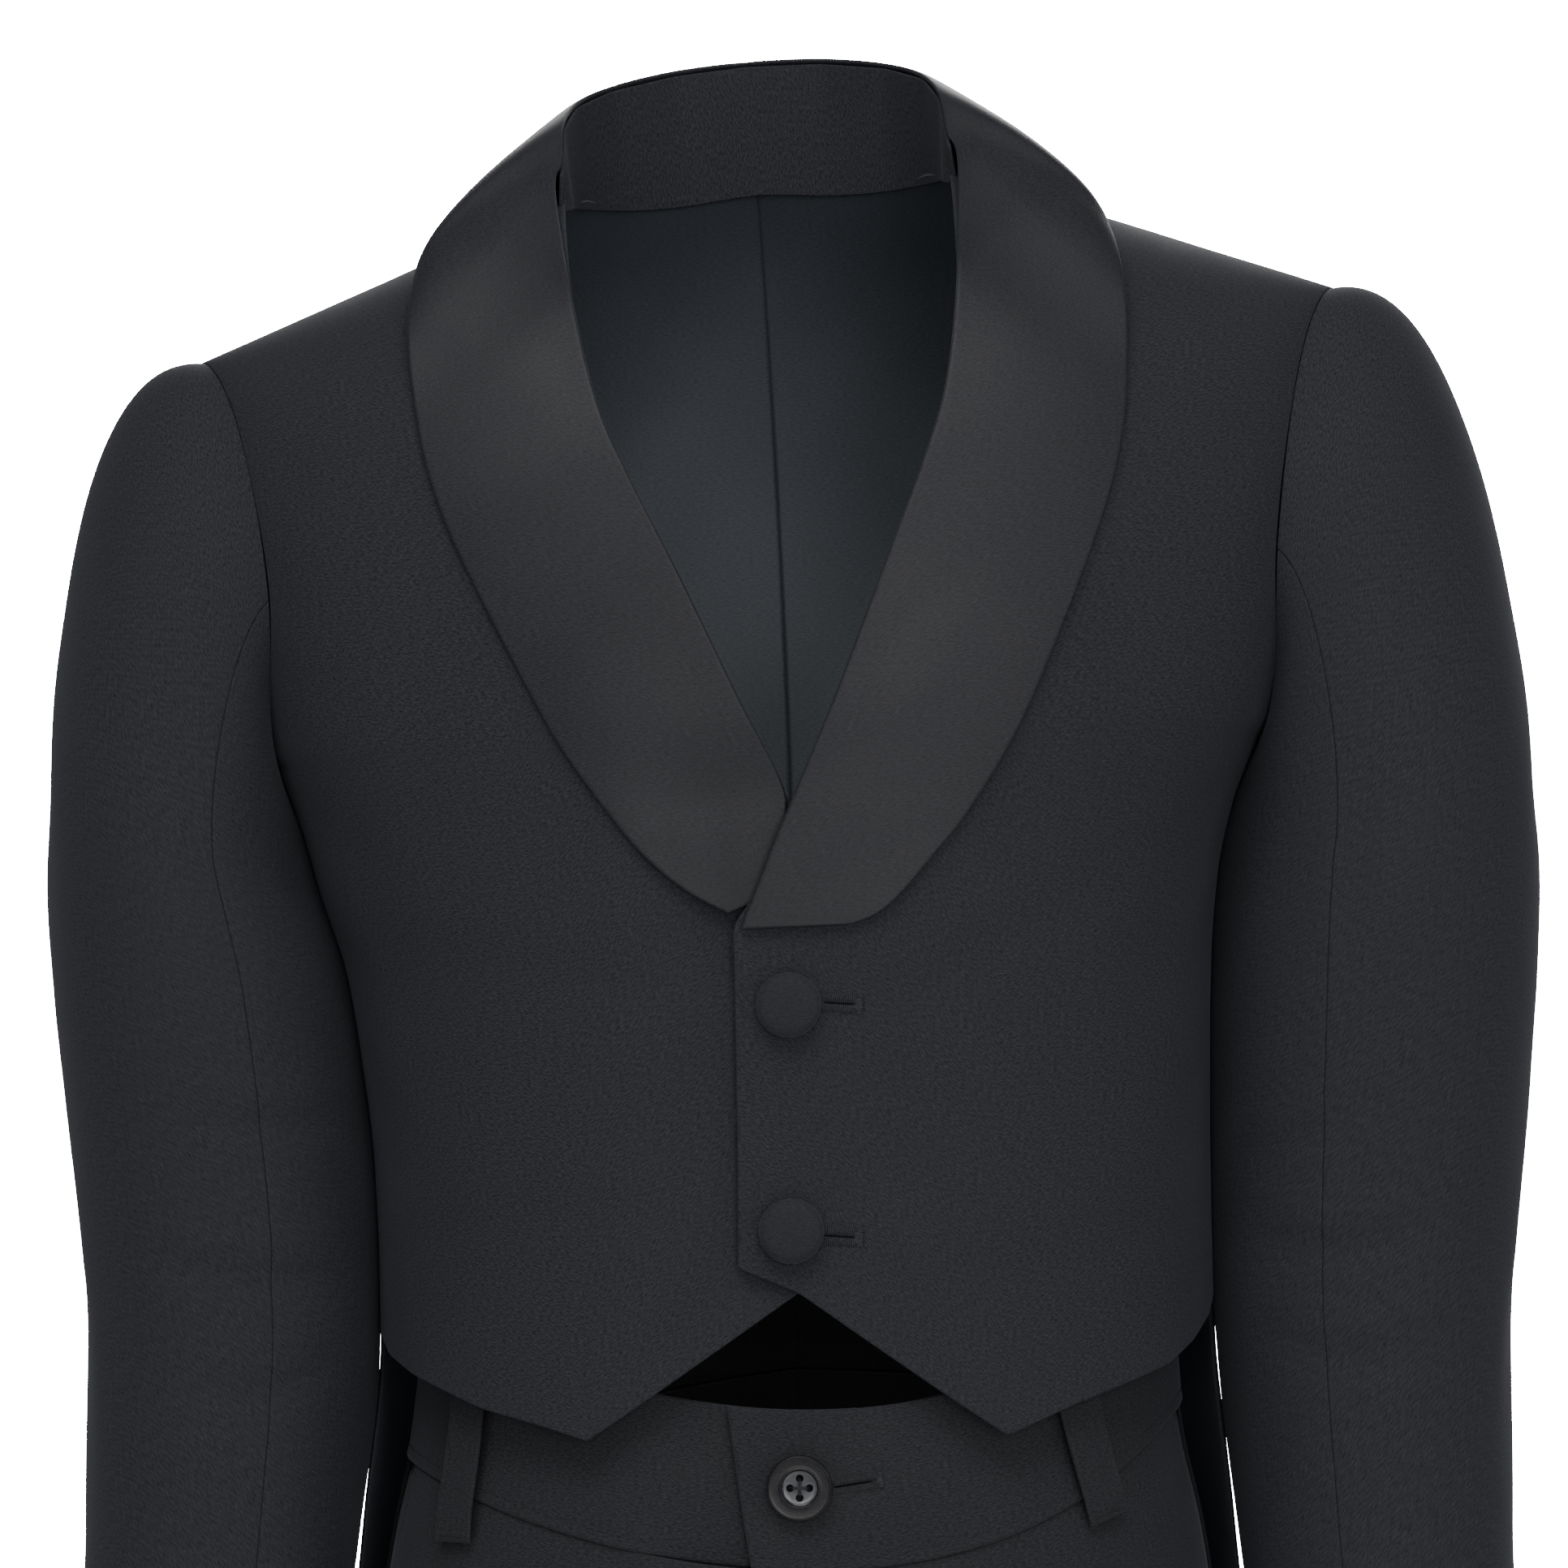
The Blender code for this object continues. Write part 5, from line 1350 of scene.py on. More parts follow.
LEG_FRONT_CREASES = {
    "left": (
        Crease((110, -448), (86, -436), (52, -424), 4.5, 0.95),
        Crease((108, -466), (78, -462), (44, -452), 4.5, 0.75),
        Crease((100, -420), (82, -404), (60, -388), 5.0, 0.50),
        Crease((22, -668), (56, -684), (96, -672), 8.0, 0.80),
        Crease((18, -716), (60, -726), (92, -708), 7.0, 0.60),
        Crease((16, -884), (58, -900), (100, -888), 7.0, 0.95),
        Crease((34, -520), (30, -580), (36, -640), 10.0, 0.50),
    ),
    "right": (
        Crease((110, -444), (88, -430), (56, -420), 4.5, 0.85),
        Crease((108, -462), (76, -460), (40, -446), 4.5, 0.80),
        Crease((100, -426), (84, -412), (58, -398), 5.0, 0.55),
        Crease((18, -678), (52, -692), (92, -682), 8.0, 0.75),
        Crease((26, -726), (62, -738), (98, -722), 7.0, 0.65),
        Crease((20, -876), (60, -890), (104, -880), 7.0, 0.85),
        Crease((30, -512), (34, -570), (28, -648), 10.0, 0.45),
    ),
}
LEG_BACK_CREASES = {
    "left": (
        Crease((108, -462), (70, -474), (30, -462), 6.0, 1.10),
        Crease((104, -484), (66, -494), (26, -484), 6.0, 0.85),
        Crease((100, -424), (84, -400), (66, -378), 6.0, 0.55),
        Crease((16, -664), (56, -680), (98, -668), 6.5, 1.00),
        Crease((20, -694), (60, -706), (94, -696), 6.0, 0.75),
        Crease((14, -892), (56, -906), (102, -894), 7.0, 0.80),
    ),
    "right": (
        Crease((108, -458), (72, -470), (34, -456), 6.0, 1.00),
        Crease((104, -480), (70, -488), (28, -476), 6.0, 0.90),
        Crease((100, -430), (86, -408), (62, -384), 6.0, 0.50),
        Crease((20, -672), (54, -686), (94, -678), 6.5, 0.95),
        Crease((16, -702), (58, -716), (98, -704), 6.0, 0.70),
        Crease((18, -886), (60, -898), (98, -884), 7.0, 0.90),
    ),
}
BAND_PUCKERS = (
    Crease((21, -319), (16, -320), (8, -322), 0.9, 0.35),
    Crease((22, -321), (17, -323), (9, -325), 0.8, 0.30),
    Crease((24, -317), (20, -318), (12, -319), 0.8, 0.22),
    Crease((-10, -312), (-8, -330), (-6, -346), 3.0, 0.16),
    Crease((34, -312), (46, -318), (60, -314), 5.0, 0.25),
    Crease((-38, -316), (-52, -322), (-66, -316), 5.0, 0.22),
)


def leg_relief(panel_creases):
    def relief(grid, first, foot):
        share = first / np.maximum(first[-1:], 1.0)
        across, along = share * LEG_MM, grid[..., 2]
        settle = np.clip(foot / 14.0, 0.0, 1.0)
        return (creased(across, along, panel_creases) + ripple(across, along, 0.12, 12.0)) * settle
    return relief


def make_legs():
    shells = {}
    vs = lines(0.0, 1.0, 14, 30.0, last=False)[:-1] + lines(1.0, 2.0, 190, 560.0, first=False)
    us = lines(0.0, 1.0, 46, 130.0)
    panels = (("front_", leg_front_point, 1.0, LEG_FRONT_CREASES),
              ("back_", leg_back_point, -1.0, LEG_BACK_CREASES))
    for name, side in SIDES.items():
        for part, form, way, creases in panels:
            shell, size = make_shell(
                "leg_" + part + name, lambda u, v, s=side, f=form: f(s, u, v), us, vs,
                LEG_CLOTH, side * way, (trouser_cloth, band_lining), leg_relief(creases[name]),
                roll=0.45)
            shells[part + name] = add_sheet(shell, size, "draped", ["band_" + name],
                                            "trouser_cloth", "trouser_" + part + name)
        shell, size = make_shell(
            "pocket_" + name, lambda u, v, s=side: pocket_point(s, u, v), spaced(0.0, 1.0, 16),
            spaced(0.0, 1.0, 40), POCKET_CLOTH, side, (trouser_cloth, band_lining),
            lambda grid, first, foot: ripple(first, foot, 0.08, 9.0), roll=0.3)
        shells["pocket_" + name] = add_sheet(shell, size, "laid", ["leg_front_" + name],
                                             "pocket_cloth", "pocket_facing_" + name)
    return shells


def make_band():
    shells = {}
    for name, side in SIDES.items():
        us = sorted(set(lines(0.0, 0.32, 74, 300.0, last=False) + spaced(0.32, 1.0, 70)))
        us = sorted(set(us + [round(1.0 - d / 300.0, 6) for d in EDGE_LINES]))
        vs = lines(0.0, 1.0, 34, 39.0)

        def relief(grid, first, foot):
            across, along = grid[..., 0], grid[..., 2]
            front = grid[..., 1] < 0.0
            low = np.exp(-((foot - BAND_STITCH_UP) / 1.0) ** 2) * -0.14
            high = np.exp(-((foot - BAND_HEIGHT + 1.8) / 0.9) ** 2) * -0.05
            return (creased(across, along, BAND_PUCKERS) * front + low + high
                    + ripple(first, foot, 0.10, 8.0))
        shell, size = make_shell(
            "band_" + name, lambda u, v, s=side: band_point(s, u, v), us, vs, BAND_CLOTH, side,
            (trouser_cloth, band_lining), relief, roll=0.7)
        shells["band_" + name] = add_sheet(shell, size, "stretched", ["leg_front_" + name],
                                           "trouser_cloth", "waistband_" + name)
    for node, loop in LOOPS.items():
        def relief(grid, first, foot, turn=loop.angle):
            from_edge = np.minimum(first, first[-1:] - first)
            stitched = np.exp(-((from_edge - LOOP_STITCH_IN) / 0.5) ** 2) * -0.12
            return stitched + ripple(first, foot + turn, 0.06, 5.0)
        shell, size = make_shell(
            node.replace("belt_loop", "loop"), lambda u, v, row=loop: loop_point(row, u, v),
            lines(0.0, 1.0, 20, 9.6), lines(0.0, 1.0, 56, 43.0), LOOP_CLOTH, 1.0,
            (trouser_cloth, trouser_cloth), relief, roll=0.4)
        shells[node] = add_sheet(shell, size, "laid", ["band_" + side_name(loop.angle)],
                                 "trouser_cloth", node)
    return shells


# Buttons

def stands_for(piece, slot, *nodes):
    """A finished piece that isn't a sheet: hides the solids it stands for and hangs it on the root.
    """
    if nodes:
        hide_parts(*nodes)
    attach(piece, "root")
    return piece


def turned_piece(name, profile, steps, material, here, normal, up, ripples=0.0):
    """A turned button on the cloth, from (radius, height) points, foot to top."""
    builder = bmesh.new()
    rings = []
    for radius, height in profile:
        if radius == 0.0:
            rings.append([builder.verts.new((0.0, 0.0, height * MM))] * steps)
            continue
        ring = []
        for i in range(steps):
            turn = math.tau * i / steps
            uneven = math.sin(turn * 19.0 + math.sin(turn * 3.0))
            uneven += 0.6 * math.sin(turn * 31.0 + 1.0)
            r = radius - ripples * (0.5 + 0.5 * uneven) * ease(radius - BUTTON_PLEATS_FROM)
            ring.append(builder.verts.new((r * math.cos(turn) * MM, r * math.sin(turn) * MM,
                                           height * MM)))
        rings.append(ring)
    for low, high in zip(rings, rings[1:]):
        for i in range(steps):
            k = (i + 1) % steps
            builder.faces.new(list(dict.fromkeys([low[i], low[k], high[k], high[i]])))
    bmesh.ops.recalc_face_normals(builder, faces=builder.faces)
    mesh = new_mesh(name, builder)
    uv = mesh.uv_layers.new(name="cloth")
    for loop in mesh.loops:
        spot = mesh.vertices[loop.vertex_index].co
        uv.data[loop.index].uv = (spot.x / MM, spot.y / MM)
    mesh.transform(seat_of(here, normal, up))
    return object_from(name, mesh, (material,))


def seat_of(here, normal, up):
    """The turn and place that set a piece down with its +Z along an outward normal."""
    side_way = up.cross(normal).normalized()
    top_way = normal.cross(side_way).normalized()
    turn = Matrix((side_way, top_way, normal)).transposed()
    return Matrix.Translation(here * MM) @ turn.to_4x4()


def smooth_profile(points, count):
    """A rounder profile through the given (radius, height) points."""
    result = []
    for i in range(len(points) - 1):
        before = points[max(0, i - 1)]
        a, b = points[i], points[i + 1]
        after = points[min(len(points) - 1, i + 2)]
        for k in range(count):
            result.append(tuple(curve_at(before[n], a[n], b[n], after[n], k / count)
                                for n in (0, 1)))
    result.append(points[-1])
    return [(max(0.0, r), h) for r, h in result]


def make_covered_buttons():
    r = BUTTON_RADIUS
    thick = COVERED_BUTTON_THICK
    profile = [(0.0, 0.0), (r - 1.4, 0.0), (r - 0.3, 0.7), (r, 1.7), (r - 0.3, thick - 1.7),
               (r - 1.0, thick - 0.85), (r - 2.0, thick - 0.35), (r * 0.5, thick - 0.08),
               (0.0, thick)]
    profile = smooth_profile(profile, 5)
    for node, z in COVERED_BUTTONS.items():
        here = lean(on_form(1.0, BUTTON_X, z, 0.0))
        above = lean(on_form(1.0, BUTTON_X, z + 4.0, 0.0))
        beside = lean(on_form(1.0, BUTTON_X + 4.0, z, 0.0))
        up = (above - here).normalized()
        normal = (beside - here).cross(up).normalized()
        piece = turned_piece(node.replace("coat_button", "covered_button"), profile,
                             COVERED_BUTTON_STEPS, button_cloth, here + normal * PLY_GAP, normal,
                             up, ripples=0.10)
        stands_for(piece, "button_cloth", node)


def make_trouser_button():
    r = BUTTON_RADIUS
    recess = TROUSER_BUTTON_RECESS
    thick = TROUSER_BUTTON_THICK
    profile = [(0.0, 0.0), (r - 1.2, 0.0), (r - 0.2, 0.5), (r, 1.1), (r - 0.02, thick - 0.5),
               (r - 0.2, thick - 0.14), (r - 0.42, thick), (r - 0.7, thick - 0.2),
               (recess + 0.95, thick - 0.26), (recess + 0.5, thick - 0.1),
               (recess + 0.2, thick - 0.2), (recess - 0.15, thick - 0.9),
               (recess - 0.6, thick - 1.2), (0.0, thick - 1.25)]
    here = band_ring(0.0, TROUSER_BUTTON_Z, BAND_PROUD + PLY_GAP + 0.1)
    piece = turned_piece("horn_button", smooth_profile(profile, 4), TROUSER_BUTTON_STEPS,
                         horn, here, Vector((0.0, -1.0, 0.0)), Vector((0.0, 0.0, 1.0)))
    builder = bmesh.new()
    for i in range(4):
        turn = math.radians(90.0 * i)
        spot = Vector((math.cos(turn), 0.0, math.sin(turn))) * THREAD_HOLE_SPREAD
        facing = Matrix.Rotation(math.radians(90.0), 4, "X")
        place = Matrix.Translation((here + spot) * MM) @ facing
        bmesh.ops.create_cone(builder, cap_ends=True, segments=28, depth=12.0 * MM, matrix=place,
                              radius1=THREAD_HOLE_RADIUS * MM, radius2=THREAD_HOLE_RADIUS * MM)
    cutter = object_from("holes", new_mesh("holes", builder), ())
    holes = piece.modifiers.new("holes", "BOOLEAN")
    holes.operation = "DIFFERENCE"
    holes.object = cutter
    seen = piece.evaluated_get(bpy.context.evaluated_depsgraph_get())
    whole = bpy.data.meshes.new_from_object(seen)
    piece.modifiers.clear()
    piece.data = whole
    whole.set_sharp_from_angle(angle=math.radians(32.0))
    whole.materials.append(horn_dish)
    for face in whole.polygons:
        away = math.hypot(face.center.x / MM - here.x, face.center.z / MM - here.z)
        in_front = face.center.y < (here.y - 1.0) * MM
        face.material_index = 1 if away < recess - 0.05 and in_front else 0
    bpy.data.objects.remove(cutter, do_unlink=True)
    stands_for(piece, "horn_button", "trouser_button")


# Sewing

Stitch = namedtuple("Stitch", "pitch length radius")
TOP_STITCH = Stitch(2.1, 1.5, 0.13)
LOOP_STITCH = Stitch(2.0, 1.4, 0.11)
BARTACK_STITCH = Stitch(0.4, 1.6, 0.13)
COAT_HOLE_STITCH = Stitch(0.5, 2.3, 0.25)
BAND_HOLE_STITCH = Stitch(0.46, 1.9, 0.22)
STITCH_SEED = 11

# Where rows of stitches run, as distances along the cloth from an edge
BAND_STITCH_UP = 3.2
POCKET_STITCH_IN = 3.4
LOOP_STITCH_IN = 1.7
BARTACK_UP = {"foot": 2.2, "head": 2.0}
LAPEL_SEAM_UP = 1.9
TAIL_SEAM_DISTANCES = (1.9, 3.2)
TAIL_SEAM_DEPTH = 1.15

# The fly's curved row: straight down, then round to the centre
FLY_TOP_Z = -344.0
FLY_END_Z = -420.0
FLY_X = 17.0
FLY_END_X = 1.5
FLY_TURN = 0.68

# Buttonholes: (x, z) of the end beside the button and of the far end
Hole = namedtuple("Hole", "name start end width eye stitch")
COAT_HOLES = (
    Hole("coat_buttonhole_upper", (5.8, -203.4), (13.4, -203.9), 1.35, 1.0, COAT_HOLE_STITCH),
    Hole("coat_buttonhole_lower", (5.8, -260.0), (13.4, -260.5), 1.35, 1.0, COAT_HOLE_STITCH),
)
BAND_HOLE = Hole("band_buttonhole", (8.0, -321.4), (18.0, -319.8), 1.1, 1.5, BAND_HOLE_STITCH)
ACROSS_TURN = math.radians(84.0)
BAR_TURN = math.radians(86.0)
BAR_CLOSER = 0.9

# How far each row's threads stand off the cloth, and the strands' own radii
ROW_OUT = 0.06
LOOP_ROW_OUT = 0.05
BARTACK_OUT = 0.08
FLY_OUT = 0.07
LIP_OUT = 0.12
BAR_OUT = 0.16
SLIT_OUT = 0.02
LAPEL_SEAM_OUT = -0.02
CORD_SIDES = 8
SLIT_RADIUS = 0.2
LAPEL_SEAM_RADIUS = 0.10
TAIL_SEAM_RADIUS = 0.34
THREAD_RADIUS = 0.2
THREAD_APART = 0.22
THREAD_ARCH = 0.32
THREAD_SINK = 1.2


def stitch_tree():
    """Stitches laid along a line: each a short rounded bar on the cloth, pulled in at its ends."""
    tree = bpy.data.node_groups.new("row of stitches", "GeometryNodeTree")
    made = tree.interface.new_socket
    made(name="Geometry", in_out="INPUT", socket_type="NodeSocketGeometry")
    for name, start in (("Pitch", 0.0018), ("Length", 0.0013), ("Radius", 0.00012),
                        ("Across", 0.0), ("Unevenness", 0.08)):
        made(name=name, in_out="INPUT", socket_type="NodeSocketFloat").default_value = start
    made(name="Finish", in_out="INPUT", socket_type="NodeSocketMaterial")
    made(name="Geometry", in_out="OUTPUT", socket_type="NodeSocketGeometry")
    n = Nodes(tree)
    given = n.add("NodeGroupInput").outputs
    curve = n.add("GeometryNodeMeshToCurve", None, {"Mesh": given["Geometry"]}).outputs[0]
    even = n.add("GeometryNodeResampleCurve", {"mode": "LENGTH"},
                 {"Curve": curve, "Length": given["Pitch"]}).outputs[0]
    points = n.add("GeometryNodeCurveToPoints", {"mode": "EVALUATED"}, {"Curve": even}).outputs
    outward = n.add("GeometryNodeInputNamedAttribute", {"data_type": "FLOAT_VECTOR"},
                    {"Name": "outward"}).outputs["Attribute"]
    along = n.add("FunctionNodeAlignRotationToVector", {"axis": "X"}, {"Vector": points["Tangent"]})
    facing = n.add("FunctionNodeAlignRotationToVector", {"axis": "Z", "pivot_axis": "X"},
                   {"Rotation": along.outputs[0], "Vector": outward})
    about = n.add("FunctionNodeAxisAngleToRotation", None,
                  {"Axis": (0.0, 0.0, 1.0), "Angle": given["Across"]}).outputs[0]
    turned_bar = n.add("FunctionNodeRotateRotation", {"rotation_space": "LOCAL"},
                       {"Rotation": facing.outputs[0], "Rotate By": about}).outputs[0]
    bar = n.add("GeometryNodeMeshUVSphere", None, {"Segments": 8, "Rings": 5, "Radius": 1.0})
    half = n.sum_of("MULTIPLY", given["Length"], 0.5)
    size = n.add("ShaderNodeCombineXYZ", None,
                 {"X": half, "Y": given["Radius"], "Z": given["Radius"]}).outputs[0]
    shaped = n.add("GeometryNodeTransform", None,
                   {"Geometry": bar.outputs["Mesh"], "Scale": size}).outputs[0]
    uneven = n.add("FunctionNodeRandomValue", {"data_type": "FLOAT"}, {"Seed": STITCH_SEED})
    n.put(uneven.inputs[2], n.sum_of("SUBTRACT", 1.0, given["Unevenness"]))
    n.put(uneven.inputs[3], n.sum_of("ADD", 1.0, given["Unevenness"]))
    row = n.add("GeometryNodeInstanceOnPoints", None,
                {"Points": points["Points"], "Instance": shaped, "Rotation": turned_bar,
                 "Scale": uneven.outputs[1]}).outputs[0]
    real = n.add("GeometryNodeRealizeInstances", None, {"Geometry": row}).outputs[0]
    smooth = n.add("GeometryNodeSetShadeSmooth", None, {"Geometry": real}).outputs[0]
    done = n.add("GeometryNodeSetMaterial", None,
                 {"Geometry": smooth, "Material": given["Finish"]}).outputs[0]
    n.put(n.add("NodeGroupOutput").inputs["Geometry"], done)
    return tree


STITCHES = stitch_tree()


def sew(name, routes, stitch, slot, across=0.0):
    """Sews stitches along routes, each a list of (point, outward) in millimetres."""
    mesh = bpy.data.meshes.new(name + "_line")
    points, edges, outward = [], [], []
    for route in routes:
        start = len(points)
        points += [tuple(np.array(point) * MM) for point, _ in route]
        outward += [value for _, normal in route for value in normal]
        edges += [(start + i, start + i + 1) for i in range(len(route) - 1)]
    mesh.from_pydata(points, edges, [])
    mesh.attributes.new("outward", "FLOAT_VECTOR", "POINT").data.foreach_set("vector", outward)
    line = object_from(name + "_line", mesh, ())
    modifier = line.modifiers.new("stitches", "NODES")
    modifier.node_group = STITCHES
    values = {"Pitch": stitch.pitch * MM, "Length": stitch.length * MM,
              "Radius": stitch.radius * MM, "Across": across, "Finish": thread}
    for item in STITCHES.interface.items_tree:
        if item.in_out == "INPUT" and item.name in values:
            modifier[item.identifier] = values[item.name]
    seen = line.evaluated_get(bpy.context.evaluated_depsgraph_get())
    whole = bpy.data.meshes.new_from_object(seen)
    bpy.data.objects.remove(line, do_unlink=True)
    whole.materials.clear()
    return stands_for(object_from(name, whole, (thread,)), slot)


def route_on(shell, places, out):
    """A route over a shell through (u, v) places, moved out, or in where out is negative."""
    return [on_shell(shell, u, v, out) for u, v in places]


def beside_edge(shell, edge, distance, start, end, count):
    """Places at a distance along the cloth from one edge: first, last, foot or head.

    start and end are shares of that edge's length.
    """
    beside_side = edge in ("first", "last")
    us, vs = np.array(shell.across), np.array(shell.along)
    along, across = (vs, us) if beside_side else (us, vs)
    field = getattr(shell, edge)
    places = []
    for k in range(count + 1):
        place = mix(along[0], along[-1], mix(start, end, k / count))
        i = int(np.argmin(np.abs(along - place)))
        run = field[:, i] if beside_side else field[i, :]
        order = np.argsort(run)
        reached = float(np.interp(distance, run[order], across[order]))
        places.append((reached, place) if beside_side else (place, reached))
    return places


def spot_on(shell, x, z, out=0.0):
    """A point of a front shell at x and z, and its outward direction."""
    off = (shell.outer[..., 0] - x) ** 2 + (shell.outer[..., 2] - z) ** 2
    off = off + np.where(shell.outer[..., 1] < 0.0, 0.0, 1e6)
    nearest = np.argsort(off.ravel())[:4]
    weight = 1.0 / (off.ravel()[nearest] + 0.05)
    weight = weight / weight.sum()
    y = float((shell.outer.reshape(-1, 3)[nearest, 1] * weight).sum())
    normal = (shell.normal.reshape(-1, 3)[nearest] * weight[:, None]).sum(axis=0)
    normal = normal / np.linalg.norm(normal)
    return np.array((x, y, z)) + normal * out, normal


def make_buttonhole(hole, shell, slot):
    """A worked buttonhole: close stitches down both lips, round the eye and over the end bar."""
    start, end = np.array(hole.start), np.array(hole.end)
    reach = np.linalg.norm(end - start)
    way = (end - start) / reach
    side = np.array((-way[1], way[0]))
    width, eye, stitch = hole.width, hole.eye, hole.stitch
    loop = [start + way * (reach * k / 40) + side * width for k in range(41)]
    for k in range(1, 16):
        turn = math.pi * k / 16
        loop.append(end + way * math.sin(turn) * eye + side * math.cos(turn) * width)
    loop += [end - way * (reach * k / 40) - side * width for k in range(41)]
    route = [spot_on(shell, x, z, LIP_OUT) for x, z in loop]
    sew(hole.name + "_stitches", [route], stitch, slot, ACROSS_TURN)
    beyond = end + way * (eye + 0.3)
    bar = [spot_on(shell, *(beyond + side * mix(-width * 1.5, width * 1.5, k / 12)), BAR_OUT)
           for k in range(13)]
    close = Stitch(stitch.pitch * BAR_CLOSER, stitch.length * BAR_CLOSER, stitch.radius)
    sew(hole.name + "_bar", [bar], close, slot, BAR_TURN)
    # A near-black strand down the slit: painted shade in the gap between the lips.
    slit = [spot_on(shell, *(start + (end - start) * k / 24), SLIT_OUT) for k in range(25)]
    cord_piece(hole.name + "_slit_shade", slit, SLIT_RADIUS, slit_shade, slot)


def cord_piece(name, route, radius, material, slot, flatten=0.5):
    """A round or flattened strand through (point, outward) stations, closed at both ends."""
    points, faces = [], []
    for k, (point, normal) in enumerate(route):
        before = np.array(route[max(0, k - 1)][0])
        after = np.array(route[min(len(route) - 1, k + 1)][0])
        way = (after - before) / max(np.linalg.norm(after - before), 1e-9)
        beside = np.cross(way, normal)
        beside /= max(np.linalg.norm(beside), 1e-9)
        up = np.cross(beside, way)
        end = math.sin(math.pi * min(1.0, max(0.04, min(k, len(route) - 1 - k) / 3.0)) / 2.0)
        for i in range(CORD_SIDES):
            turn = math.tau * i / CORD_SIDES
            spot = (np.array(point) + beside * math.cos(turn) * radius * end
                    + up * math.sin(turn) * radius * end * flatten)
            points.append(tuple(spot * MM))
    for k in range(len(route) - 1):
        for i in range(CORD_SIDES):
            j = (i + 1) % CORD_SIDES
            a, b = k * CORD_SIDES, (k + 1) * CORD_SIDES
            faces.append((a + i, b + i, b + j, a + j))
    faces.append(tuple(range(CORD_SIDES)))
    faces.append(tuple(range(len(points) - CORD_SIDES, len(points)))[::-1])
    mesh = bpy.data.meshes.new(name)
    mesh.from_pydata(points, [], faces)
    builder = bmesh.new()
    builder.from_mesh(mesh)
    bmesh.ops.recalc_face_normals(builder, faces=builder.faces)
    builder.to_mesh(mesh)
    builder.free()
    return stands_for(object_from(name, mesh, (material,)), slot)


def sew_coat(fronts, backs, collar):
    for hole in COAT_HOLES:
        make_buttonhole(hole, fronts["left"], "coat_cloth")
    foot = beside_edge(collar["left"], "head", LAPEL_SEAM_UP, 0.0, 1.0, 60)
    cord_piece("lapel_foot_seam", route_on(collar["left"], foot, LAPEL_SEAM_OUT),
               LAPEL_SEAM_RADIUS, thread, "satin", 0.4)
    tail = backs["left"]
    for i, distance in enumerate(TAIL_SEAM_DISTANCES):
        places = beside_edge(tail, "last", distance, 0.3, 0.96, 240)
        cord_piece("tail_seam_%d" % (i + 1), route_on(tail, places, -TAIL_SEAM_DEPTH),
                   TAIL_SEAM_RADIUS, lining, "coat_cloth", 0.6)


def fly_route(leg):
    route = []
    for k in range(61):
        t = k / 60
        x = FLY_X
        if t >= FLY_TURN:
            bend = math.sqrt(max(0.0, 1.0 - ((t - FLY_TURN) / (1.0 - FLY_TURN)) ** 2))
            x = FLY_END_X + (FLY_X - FLY_END_X) * bend
        route.append(spot_on(leg, x, mix(FLY_TOP_Z, FLY_END_Z, t), FLY_OUT))
    return route


def button_threads():
    """Two pairs of strands crossing the trouser button, from hole to hole and down into each."""
    here = band_ring(0.0, TROUSER_BUTTON_Z, BAND_PROUD + PLY_GAP + 0.1)
    face = TROUSER_BUTTON_THICK - 1.0
    outward = np.array((0.0, -1.0, 0.0))
    strands = []
    for upright in (True, False):
        for shift in (-THREAD_APART, THREAD_APART):
            route = []
            for k in range(13):
                reach = mix(THREAD_HOLE_SPREAD, -THREAD_HOLE_SPREAD, k / 12)
                x, z = (shift, reach) if upright else (reach, shift)
                arch = math.sin(math.pi * k / 12)
                rise = face + THREAD_ARCH * arch - THREAD_SINK * (1.0 - arch) ** 6
                route.append((np.array((here.x + x, here.y - rise, here.z + z)), outward))
            strands.append(route)
    return strands


def sew_trousers(legs, bands):
    rows = []
    for name in SIDES:
        band = bands["band_" + name]
        places = beside_edge(band, "foot", BAND_STITCH_UP, 0.0, 1.0, 320)
        rows.append(route_on(band, places, ROW_OUT))
    sew("band_stitching", rows, TOP_STITCH, "trouser_cloth")
    rows = []
    for name in SIDES:
        leg = legs["front_" + name]
        places = beside_edge(leg, "first", POCKET_STITCH_IN, 0.0, 0.16, 90)
        rows.append(route_on(leg, places, ROW_OUT))
    sew("pocket_stitching", rows, TOP_STITCH, "trouser_cloth")
    rows = []
    bars = []
    for node in LOOPS:
        loop = bands[node]
        for edge in ("first", "last"):
            places = beside_edge(loop, edge, LOOP_STITCH_IN, 0.0, 1.0, 50)
            rows.append(route_on(loop, places, LOOP_ROW_OUT))
        for edge, up in BARTACK_UP.items():
            bars.append(route_on(loop, beside_edge(loop, edge, up, 0.12, 0.88, 20), BARTACK_OUT))
    sew("loop_stitching", rows, LOOP_STITCH, "trouser_cloth")
    sew("loop_bartacks", bars, BARTACK_STITCH, "trouser_cloth", ACROSS_TURN)
    sew("fly_stitching", [fly_route(legs["front_left"])], TOP_STITCH, "trouser_cloth")
    make_buttonhole(BAND_HOLE, bands["band_left"], "trouser_cloth")
    for i, route in enumerate(button_threads()):
        cord_piece("button_thread_%d" % (i + 1), route, THREAD_RADIUS, thread, "horn_button", 1.0)


# The studio

PHOTO_MM = 386.0
CAMERA_AWAY = 3000.0
CAMERA_X = -3.8
CAMERA_Z = -150.4
FOCUS_Y = -40.0
SENSOR_MM = 36.0
FLOOR_RADIUS = 9.0
FLOOR_GLOW = (0.5, 40.0)
WORLD_STRENGTH = 0.24
WORLD_SEEN = 40.0

